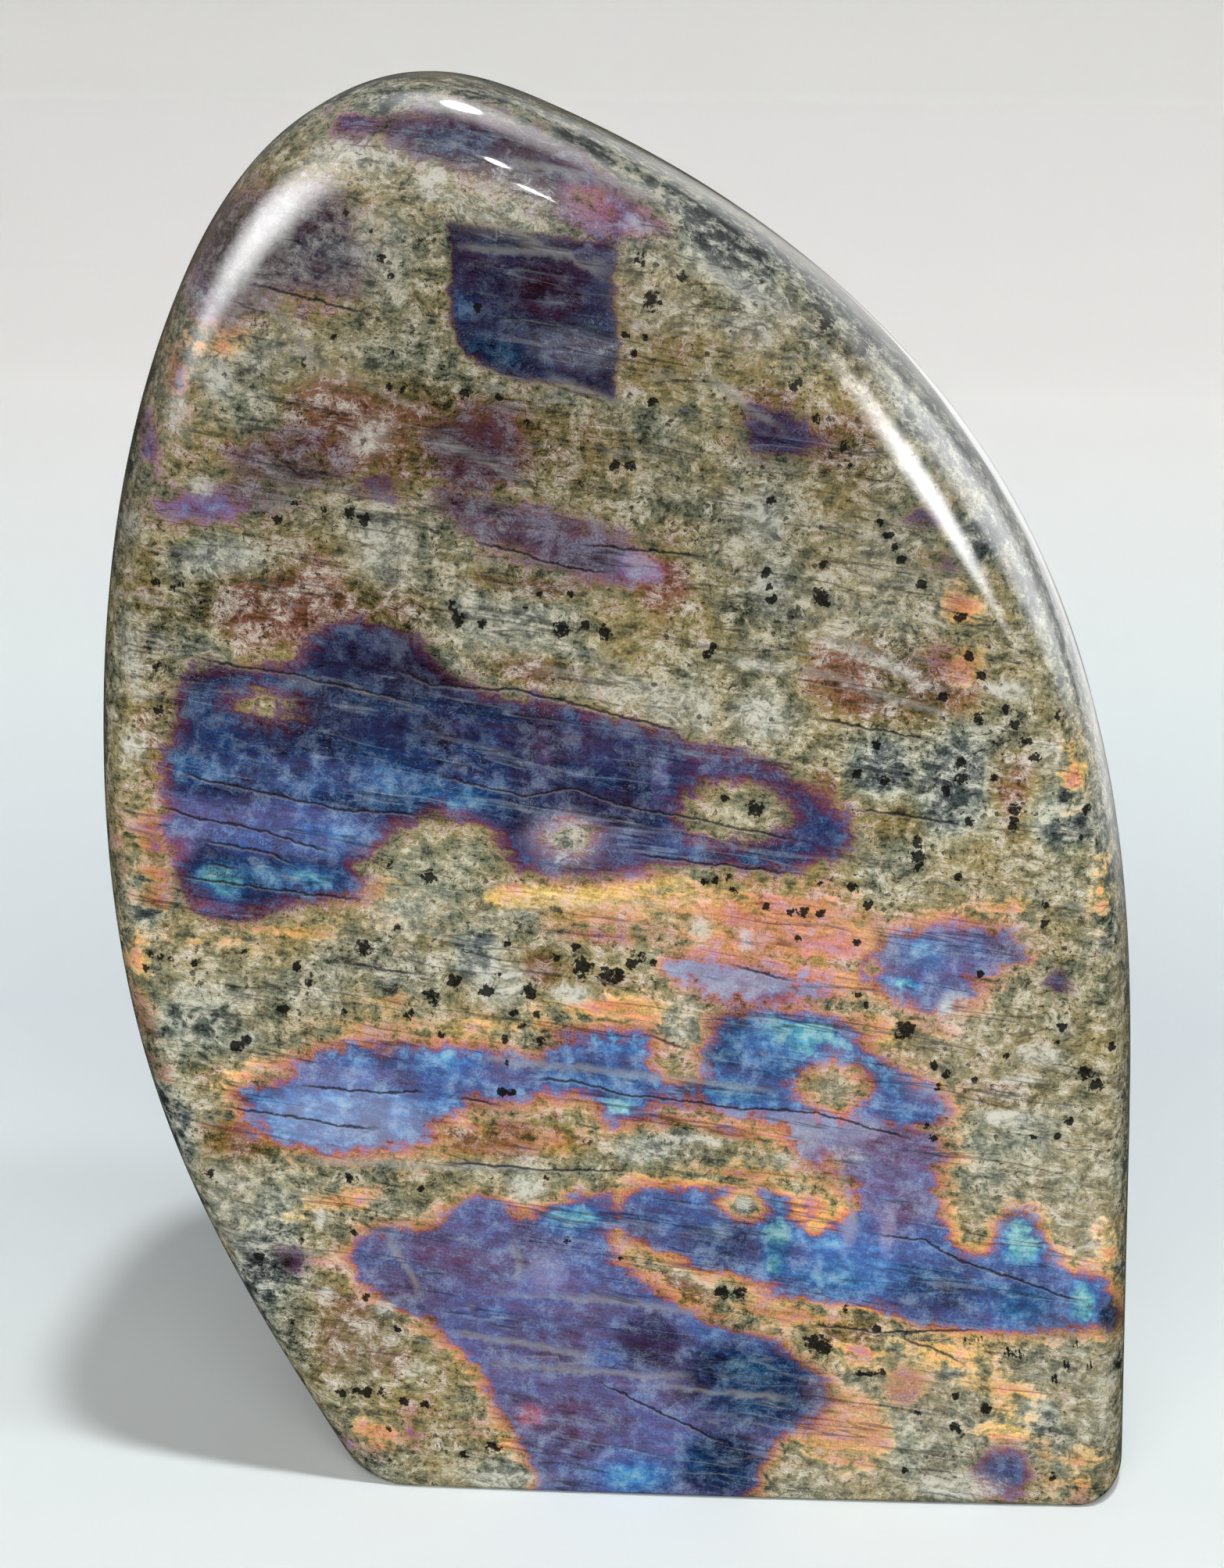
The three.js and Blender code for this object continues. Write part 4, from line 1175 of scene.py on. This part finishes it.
def kept(name):
    """The three numbers that the skin keeps under one name."""
    return parts(add_node(tree, "ShaderNodeAttribute", {"attribute_name": name}, "Vector"))


flash_depth, flash_order, flash_glow = kept("flash")
flash_fire, host_tone, host_milk = kept("host")
crack_line, crack_near, speck_seed = kept("cracks")
seam_line, seam_near, edge_soft = kept("seams")

mm = scaled(add_node(tree, "ShaderNodeTexCoord", None, "Object"), 1 / MM)
px, py, pz = parts(mm)
grain_cos, grain_sin = math.cos(math.radians(-GRAIN)), math.sin(math.radians(-GRAIN))
with_grain = px * grain_cos - pz * grain_sin
over_grain = px * grain_sin + pz * grain_cos
into_stone = py * 0.5


def grained(along_scale):
    """Millimetres, drawn out along the grain by one over the scale."""
    return add_node(tree, "ShaderNodeCombineXYZ", X=with_grain * along_scale, Y=into_stone, Z=over_grain)


print(f"places on the stone: {len(tree.nodes)} nodes")


# %% [markdown]
# ### The noises that everything shares
#
# In the real stone one crack makes a pale place, bends a zone of flash and holds a speck, all at the same
# spot. So the layers below read the same few noises instead of one each. They run from swells of 8 mm
# down to grit of 0.2 mm. Two of them, felt and floss, get a place that is itself shifted by a noise,
# which crumples them as the feldspar's feathery cleavage is crumpled.


# %% Shared noises
def noise(at, scale, detail, rough=0.5, out="Fac"):
    """A cloudy value around a half, mostly between 0.3 and 0.7. Its swells are about 1 / scale wide."""
    return add_node(
        tree, "ShaderNodeTexNoise", None, out,
        Vector=at, Scale=scale, Detail=detail, Roughness=rough,
    )


SHIFT = (5.0, 5.0, 5.0)  # millimetres by which the crumpled noises are pushed about
broad = noise(mm, 0.13, 2)  # 8 mm
patchy = noise(mm, 0.5, 3, 0.6)  # 2 mm
crumbs = noise(mm, 1.5, 3, 0.7)  # 0.7 mm
grit = noise(mm, 5.5, 2, 0.7)  # 0.2 mm
long_grain = grained(0.14)
bands = noise(long_grain, 0.55, 2, 0.55)  # 2 mm across the grain, 13 mm along it
streaks = noise(long_grain, 2.6, 2, 0.6)  # 0.4 mm across, 3 mm along
swirl = add_node(
    tree, "ShaderNodeVectorMath", {"operation": "MULTIPLY_ADD"}, 0,
    Vector=noise(mm, 0.26, 2, out="Color"), Vector_001=SHIFT, Vector_002=grained(0.5),
)
felt = noise(swirl, 0.9, 4, 0.66)  # 1.1 mm across, crumpled
floss = noise(swirl, 2.8, 4, 0.74)  # 0.4 mm across, crumpled
print(f"with the noises: {len(tree.nodes)} nodes")

# %% What is made from them
broad_swing, patchy_swing, crumbs_swing, grit_swing, bands_swing, streaks_swing, felt_swing, floss_swing = (
    value - 0.5 for value in (broad, patchy, crumbs, grit, bands, streaks, felt, floss)
)


def stroke(off, core, edge):
    """A line where off is 0: full up to core on either side and gone at edge. A noise gives threads."""
    return 1 - off.size().step(core, edge)


thick = felt * 0.34 + patchy * 0.32 + streaks * 0.16 + crumbs * 0.18  # how full of cleavage the feldspar is
grit_light = grit.step(0.28, 0.72)
web = stroke(floss_swing, 0.0, 0.055) * (patchy * 0.6 + felt * 0.4).step(0.43, 0.58)  # pale threads
shards = add_node(tree, "ShaderNodeTexVoronoi", None, "Color", Vector=mm, Scale=1.9)  # cells of 0.5 mm
shard_tone, shard_pick, _ = parts(shards)
print(f"with what is made from them: {len(tree.nodes)} nodes")

# %% [markdown]
# ### Host
#
# Plain labradorite is cloudy: clear dark places lie between pale ones that are full of tiny cleavage
# cracks. Close around a zone of flash the host turns warm, because there the sheets are almost thick
# enough to show a colour.

# %% Host
HOST_RAMP = [
    (0.0, paint(82, 92, 94)), (0.18, paint(118, 126, 114)), (0.34, paint(140, 144, 120)),
    (0.5, paint(136, 128, 94)), (0.66, paint(138, 122, 72)), (0.82, paint(126, 88, 58)),
    (1.0, paint(116, 70, 56)),
]
CLEAVAGE_WHITE = paint(216, 215, 202)
CLEAR_DARK = paint(40, 39, 27)
halo = flash_depth.step(-3.0, -0.2) * patchy.step(0.42, 0.6)
tone = host_tone * 1.3 - 0.15 + broad_swing * 0.8 + patchy_swing * 0.8 + felt_swing * 0.5 + halo * 0.16
light = thick.step(0.4, 0.6) * 0.66 + grit_light * 0.5 + floss.step(0.32, 0.68) * 0.44 + broad_swing * 1.4
host = scaled(ramp(tone, HOST_RAMP), light)
host = blend(thick.step(0.5, 0.62) * 0.44 + web * 0.74, host, CLEAVAGE_WHITE)
clear = (1 - thick.step(0.38, 0.47)) * 0.7
pits = (1 - crumbs.step(0.34, 0.4)) * 0.85
host = blend(clear.most(pits), host, CLEAR_DARK)
print(f"with the host: {len(tree.nodes)} nodes")

# %% [markdown]
# ### Flash
#
# The depth inside a zone, frayed by noise, decides where the flash starts and how fast its colour climbs
# from the orange rim to the colour of the middle. A zone with no fire skips the orange and comes up out
# of the host softly. Fine straight striations run through every zone, because the sheets that cause the
# flash are twinned. Metal or thin-film shaders would change with the viewing angle, and this part has to
# look the same wherever it is used, so the colour is plain paint.

# %% The colour of the flash
FLASH_RAMP = [
    (0.0, paint(250, 206, 112)), (0.1, paint(232, 158, 98)), (0.19, paint(200, 118, 92)),
    (0.28, paint(166, 90, 110)), (0.37, paint(126, 78, 128)), (0.46, paint(104, 88, 138)),
    (0.56, paint(78, 82, 142)), (0.65, paint(52, 84, 150)), (0.74, paint(44, 104, 170)),
    (0.82, paint(52, 128, 186)), (0.91, paint(72, 158, 180)), (1.0, paint(124, 190, 196)),
]
RIM_WIDTH = 1.1  # how many softnesses deep the slow climb through the orange goes
fray = patchy_swing * 5.0 + crumbs_swing * 1.2 + bands_swing * 3.6 + felt_swing * 3.4
frayed = flash_depth + fray * (edge_soft * 0.6 + 0.1).least(1.1)
inward = frayed.most(0.0) / edge_soft
climb = inward * 0.16 + (inward - RIM_WIDTH).most(0.0) * 0.36 + (1 - flash_fire) * 0.3
reach_order = flash_order + broad_swing * 0.3 + patchy_swing * 0.4 + bands_swing * 0.35 + felt_swing * 0.25
flash_at = climb.math("SMOOTH_MIN", reach_order, 0.12)  # climbs to the zone's order and stays there
print(f"with the flash's place in the ramp: {len(tree.nodes)} nodes")

# %% The light of the flash
HAZE = paint(172, 178, 188)
stripes = 0.34 + thick.step(0.36, 0.64) * 0.4 + grit_light * 0.5 + floss.step(0.3, 0.7) * 0.28
stripes = stripes + streaks_swing * 1.0 + broad_swing * 1.4 + patchy_swing * 0.7
brightness = (flash_glow * flash_glow.most(0.6)).least(1.25) * stripes.most(0.04)
flash = scaled(ramp(flash_at, FLASH_RAMP), brightness)
lace = web * 0.46 + (patchy - 0.54).most(0.0) * 1.6
haze = ((flash_glow - 1).most(0.0) * 1.2 + (flash_glow - 0.6).most(0.0) * 0.2) * flash_at.step(0.2, 0.4)
haze = haze + lace * flash_glow.least(1.0) * 0.9
flash = blend(haze, flash, HAZE)
print(f"with its light: {len(tree.nodes)} nodes")

# %% Where the flash covers the host
starts = (frayed / edge_soft).step(-0.6, 0.7)
dying = ((edge_soft - 0.8) * 3.0).most(0.0).least(0.75)
burning = 1 - (1 - flash_at.step(0.14, 0.3)) * (1 - (bands * 0.6 + felt * 0.4).step(0.4, 0.53)) * dying
# A zone without fire shows only what comes after the orange, and a soft zone lets the host through
past_orange = flash_fire + (1 - flash_fire) * flash_at.step(0.2, 0.34)
veiled = flash_at.step(0.1, 0.3) * 0.12 + 0.88 - (edge_soft - 1.6).most(0.0) * 0.25
covers = starts * past_orange * burning * veiled
colour = blend(covers, host, flash)
print(f"with its cover: {len(tree.nodes)} nodes")

# %% [markdown]
# ### Clouds
#
# A cloud is a place where the crystal is shattered so finely that it scatters all light. The drawn cloud
# is only a soft blob, so the crumpled noises tear it into wisps. A net of hairlines lies over them here
# and there.

# %% Clouds
CLOUD_WHITE = paint(206, 206, 196)
NET_WHITE = paint(205, 203, 190)
wisps = host_milk * 0.9 + felt_swing * 2.0 + floss_swing * 1.6 + grit_swing * 0.8
colour = blend(host_milk * 0.22 + wisps.step(0.4, 1.2) * 0.66, colour, CLOUD_WHITE)
net = stroke(felt_swing, 0.0, 0.01) * bands.step(0.45, 0.6)
colour = blend(net * 0.3, colour, NET_WHITE)
print(f"with the clouds: {len(tree.nodes)} nodes")

# %% [markdown]
# ### Seams, cracks and hairlines
#
# Healed seams are pale and open cracks are dark, and beside a crack runs a pale line, a painted highlight
# where light would catch its wall.
# Each is a stroke along a drawn line that wanders a little. Between them run finer ones that nobody would
# draw by hand: they are the places where a noise, drawn out along the grain, passes through its middle
# value.

# %% Seams and pale hairlines
SEAM_GREY = paint(152, 150, 146)
HAIR_WHITE = paint(176, 180, 188)
wander = crumbs_swing * 0.7 + patchy_swing * 1.6
seams = stroke(seam_line + wander, 0.05, 0.75) * seam_near * bands.step(0.25, 0.5)
colour = blend(seams * 0.44, colour, SEAM_GREY)
hair_white = stroke(noise(grained(0.11), 0.42, 2, 0.55) - 0.5, 0.002, 0.03) * bands.step(0.46, 0.6)
colour = blend(hair_white * 0.18, colour, HAIR_WHITE)
print(f"with the seams: {len(tree.nodes)} nodes")

# %% Cracks and dark hairlines
LIP_HIGHLIGHT = paint(170, 165, 170)
CRACK_DARK = paint(24, 20, 26)
crack_off = crack_line + wander * 0.6
cracks = stroke(crack_off, 0.05, 0.24) * crack_near
# Painted highlight: a pale line just beside each crack, where light would catch its wall
lip_highlights = stroke(crack_off + 0.22, 0.04, 0.2) * crack_near
colour = blend(lip_highlights * 0.16, colour, LIP_HIGHLIGHT)
hair_dark = stroke(noise(grained(0.08), 0.7, 2, 0.5) - 0.5, 0.004, 0.035) * bands.step(0.5, 0.6)
colour = blend((cracks * 0.85).most(hair_dark * 0.55), colour, CRACK_DARK)
print(f"with the cracks: {len(tree.nodes)} nodes")

# %% [markdown]
# ### The crest half is duller
#
# Towards the crest all layers so far are made darker at once, by one smooth step over the height.

# %% Dull the crest half
DULL_FROM, DULL_TO = 86, 120  # millimetres above the base
colour = scaled(colour, 1 - pz.step(DULL_FROM, DULL_TO) * 0.3)
print(f"with the duller crest: {len(tree.nodes)} nodes")

# %% [markdown]
# ### Specks and painted glints
#
# The specks of ilmenite are black and ragged, with crumbs around them. The drawn seed is a cone, and
# noise is added before it is cut, so its edge breaks up but its place stays. Fine dust comes from a few
# of many small cells. Last, the brightest grains of the grit are painted near white as glints: painted
# highlights standing in for tiny cleavage faces that catch the light.

# %% Specks and painted glints
SPECK_BLACK = paint(17, 17, 15)
PAINTED_GLINT = paint(235, 235, 230)
ragged = speck_seed + (shard_tone - 0.5) * 0.3 + crumbs_swing * 0.9 + grit_swing * 0.3
dusty = shard_pick.step(0.972, 0.976) * patchy.step(0.48, 0.56) * crumbs.step(0.42, 0.46)
dusty = dusty * (1 - covers * 0.8)
specks = ragged.step(0.55, 0.6).most(dusty * 0.8)
colour = blend(specks * 0.95, colour, SPECK_BLACK)
# Painted highlights: the brightest grains of the grit get a near-white glint
colour = blend(grit.step(0.72, 0.8) * 0.6, colour, PAINTED_GLINT)
print(f"with the specks and the glitter: {len(tree.nodes)} nodes")

# %% [markdown]
# ### The polish
#
# Hand polish on feldspar is glossy but not perfect. Cracks and specks take it worse, so they are rougher
# and lie a hair lower. That relief is 0.05 mm, far too little for the mesh, so it is a bump.

# %% The polish
FELDSPAR_IOR = 1.56
RELIEF = 0.05  # millimetres
join(tree, shader.inputs["Base Color"], colour)
join(tree, shader.inputs["Roughness"], 0.06 + specks * 0.12 + (cracks + seams * 0.3) * 0.2)
shader.inputs["IOR"].default_value = FELDSPAR_IOR
flush = crack_line.size().step(0.0, 0.2) * crack_near + (1 - crack_near)
height = flush - speck_seed.step(0.5, 0.9)
relief = add_node(tree, "ShaderNodeBump", None, "Normal", Strength=0.3, Distance=RELIEF * MM, Height=height)
join(tree, shader.inputs["Normal"], relief)
stone.data.materials.append(finish)
print(f"the stone's finish: {len(tree.nodes)} nodes")

# %% [markdown]
# ## The camera
#
# The lens is a short telephoto, so the stone keeps its true proportions. The camera stands 40 cm in front
# of it, a little to the right and above, and looks down at its middle.

# %% Camera
CAMERA_AT = (0.0252, -0.39673, 0.20632)
CAMERA_AIM = (-0.0022, -0.0049, 0.0787)
camera_data = bpy.data.cameras.new("camera")
camera_data.lens = 83.63
camera_data.sensor_width = 36
camera_data.sensor_fit = "AUTO"
camera = bpy.data.objects.new("camera", camera_data)
camera.location = CAMERA_AT
camera.rotation_euler = (Vector(CAMERA_AIM) - Vector(CAMERA_AT)).to_track_quat("-Z", "Y").to_euler()
bpy.context.collection.objects.link(camera)
bpy.context.scene.camera = camera
print(f"camera: {camera_data.lens:.1f} mm lens, {math.dist(CAMERA_AIM, CAMERA_AT):.2f} m from its aim")

# %% [markdown]
# ## Floor and backdrop
#
# The stone stands on a pale surface in a bright studio. One sheet makes both the floor and the wall, with
# a wide bend between them, so no horizon line shows. Its colour changes with the distance behind the
# stone, cool in front and warm and bright behind; its changes in brightness are painted light and shade,
# darker near the stone and greyer up the wall. It isn't seen in the polish, because a mirrored floor
# would wash out the colours of a face that leans towards it.

# %% A sheet that bends up
SHEET_HALF, SHEET_FRONT = 2.2, -1.6  # metres
LEVEL_END, BEND, WALL_TOP = 0.6, 0.35, 1.3
BEND_STEPS = 12


def studio_floor():
    """A sheet that runs level under the stone and curves up behind it."""
    profile = [(SHEET_FRONT, 0.0), (LEVEL_END, 0.0)]
    for k in range(1, BEND_STEPS + 1):
        angle = math.pi / 2 * k / BEND_STEPS
        profile.append((LEVEL_END + BEND * math.sin(angle), BEND * (1 - math.cos(angle))))
    profile.append((LEVEL_END + BEND, WALL_TOP))
    points = [(x, y, z) for y, z in profile for x in (-SHEET_HALF, SHEET_HALF)]
    quads = [(a, a + 1, a + 3, a + 2) for a in range(0, len(points) - 2, 2)]
    mesh = bpy.data.meshes.new("studio floor")
    mesh.from_pydata(points, [], quads)
    mesh.shade_smooth()
    sheet = bpy.data.objects.new("studio_floor", mesh)
    bpy.context.collection.objects.link(sheet)
    return sheet


floor = studio_floor()
print("floor and backdrop:", len(floor.data.polygons), "squares")

# %% Its paint
# The sheet's painted light and shade: darker near the stone, brightest where the bend begins, greyer up the
# wall
SHEET_SHADING_RAMP = [  # by metres behind the stone's middle plus 0.1: cool and near to bright and far
    (0.06, (0.64, 0.695, 0.71, 1)), (0.15, (0.61, 0.67, 0.70, 1)), (0.22, (0.59, 0.655, 0.70, 1)),
    (0.39, (0.73, 0.81, 0.83, 1)), (0.68, (0.90, 0.91, 0.905, 1)), (0.95, (0.66, 0.66, 0.655, 1)),
]
floor_paint = bpy.data.materials.new("pale floor")
floor_paint.use_nodes = True
floor_tree = floor_paint.node_tree
floor_shader = floor_tree.nodes["Principled BSDF"]
_, behind_stone, _ = parts(add_node(floor_tree, "ShaderNodeTexCoord", None, "Object"))
join(floor_tree, floor_shader.inputs["Base Color"], ramp(behind_stone + 0.1, SHEET_SHADING_RAMP))
floor_shader.inputs["Roughness"].default_value = 0.7
floor_shader.inputs["Specular IOR Level"].default_value = 0.1
floor.data.materials.append(floor_paint)
floor.visible_glossy = False
print("the floor's paint:", len(floor_tree.nodes), "nodes")

# %% [markdown]
# ## Lights
#
# A polished stone is seen as much by what it mirrors as by its own colour. So the lamps come in two
# kinds. Some only light the stone up and throw its shadow, and the polish doesn't show them. The others
# only show in the polish, as the soft window at the upper left, the line along the right shoulder and the
# pale rims, and they light nothing. That way the look of the highlights and the brightness of the colours
# can be set one without the other.


# %% A lamp
def softbox(name, place, aim, size, watts, soft_edge=0.0, mirrored=True, lights_up=True, along=(1, 0, 0)):
    """A lamp with a flat front. soft_edge is the share of its front over which it fades to its rim.

    A lamp that isn't mirrored only lights things up, and one that doesn't light up is only seen in the
    polish. The first of its two sizes lies along the direction given last. One size makes a round lamp.
    """
    data = bpy.data.lights.new(name, "AREA")
    data.shape = "RECTANGLE" if len(size) > 1 else "DISK"
    data.size = size[0]
    if len(size) > 1:
        data.size_y = size[1]
    data.energy = watts
    if soft_edge:
        data.use_nodes = True
        glow = data.node_tree
        u, v, _ = parts(add_node(glow, "ShaderNodeNewGeometry", None, "Parametric"))
        fade = 1.0
        for side in (u, 1 - u, v, 1 - v):
            fade = side.step(0.0, soft_edge) * fade
        join(glow, glow.nodes["Emission"].inputs["Strength"], fade)
    light = bpy.data.objects.new(name, data)
    back = (Vector(place) - Vector(aim)).normalized()
    high = back.cross(Vector(along)).normalized()
    light.location = place
    light.rotation_euler = Matrix((high.cross(back), high, back)).transposed().to_euler()
    light.visible_camera = False
    light.visible_glossy = mirrored
    light.visible_diffuse = lights_up
    bpy.context.collection.objects.link(light)
    return light


# %% Lamps that light up
middle = (0, 0, 0.08)
# The main lamp hangs nearly overhead, and the shadow below the stone is its shadow
softbox("overhead lamp", (0.14, -0.25, 1.45), middle, (0.12,), 11.5, mirrored=False)
# A weaker one to the right makes a second, fainter shadow
softbox("second lamp", (0.5, -0.32, 1.35), middle, (0.16,), 3.4, mirrored=False)
# A broad warm one brightens the face
softbox("front fill", (0, -1.5, 0.9), middle, (1.6, 1.0), 24, mirrored=False).data.color = (1, 0.96, 0.92)

# %% Lamps that show in the polish
# The broad highlight on the upper left shoulder and the thin one along the right shoulder
softbox(
    "left softbox", (-0.87, -0.27, 0.68), middle, (1.35, 1.3), 135, 0.62,
    lights_up=False, along=(0, 1, 0),
)
softbox(
    "right strip", (0.88, -0.49, 0.57), middle, (2.3, 0.4), 100, 0.6,
    lights_up=False, along=(0.1, 0.375, 0.225),
)
# The pale rims: a wall, a panel and the floor behind show in the right one, the ceiling in the upper one
softbox("right wall", (1.2, 0.75, 0.5), middle, (1.5, 1.2), 26, 0.4, lights_up=False, along=(0, 1, 0))
softbox("back panel", (0.6, 1.5, 0.25), middle, (1.3, 1.3), 3.4, 0.15, lights_up=False)
softbox("sheen of the floor", (0.48, 0.8, 0.004), (0.48, 0.8, 1.0), (0.9, 1.4), 3, 0.15, lights_up=False)
softbox("ceiling", (0.1, 1.0, 1.5), middle, (1.8, 1.0), 20, 0.4, lights_up=False)
# Small spots in the crest
SPOTS = [((0.1, 0.78, 1.16), 0.2), ((0.34, -0.18, 1.4), 0.08), ((0.41, -0.48, 1.29), 0.025)]
for number, (spot, width) in enumerate(SPOTS):
    softbox(f"ceiling spot {number}", spot, middle, (width,), 2, lights_up=False)
print("lamps:", len(bpy.data.lights))

# %% [markdown]
# ### The air around
#
# What no lamp covers still gives a little light, from every side. It is pale above and nearly black
# below, since the floor takes the place of the lower half.

# %% Air
AIR_RAMP = [  # from straight down to straight up
    (0.0, (0.012, 0.012, 0.014, 1)), (0.44, (0.02, 0.02, 0.024, 1)),
    (0.56, (0.82, 0.79, 0.77, 1)), (0.8, (0.84, 0.79, 0.76, 1)),
]
AIR_LIGHT = 0.185
world = bpy.data.worlds.new("studio air")
world.use_nodes = True
air = world.node_tree
_, _, up = parts(add_node(air, "ShaderNodeTexCoord", None, "Generated"))
join(air, air.nodes["Background"].inputs["Color"], ramp(up * 0.5 + 0.5, AIR_RAMP))
air.nodes["Background"].inputs["Strength"].default_value = AIR_LIGHT
bpy.context.scene.world = world
bpy.context.scene.view_settings.view_transform = "Standard"
print("the air gives", AIR_LIGHT)
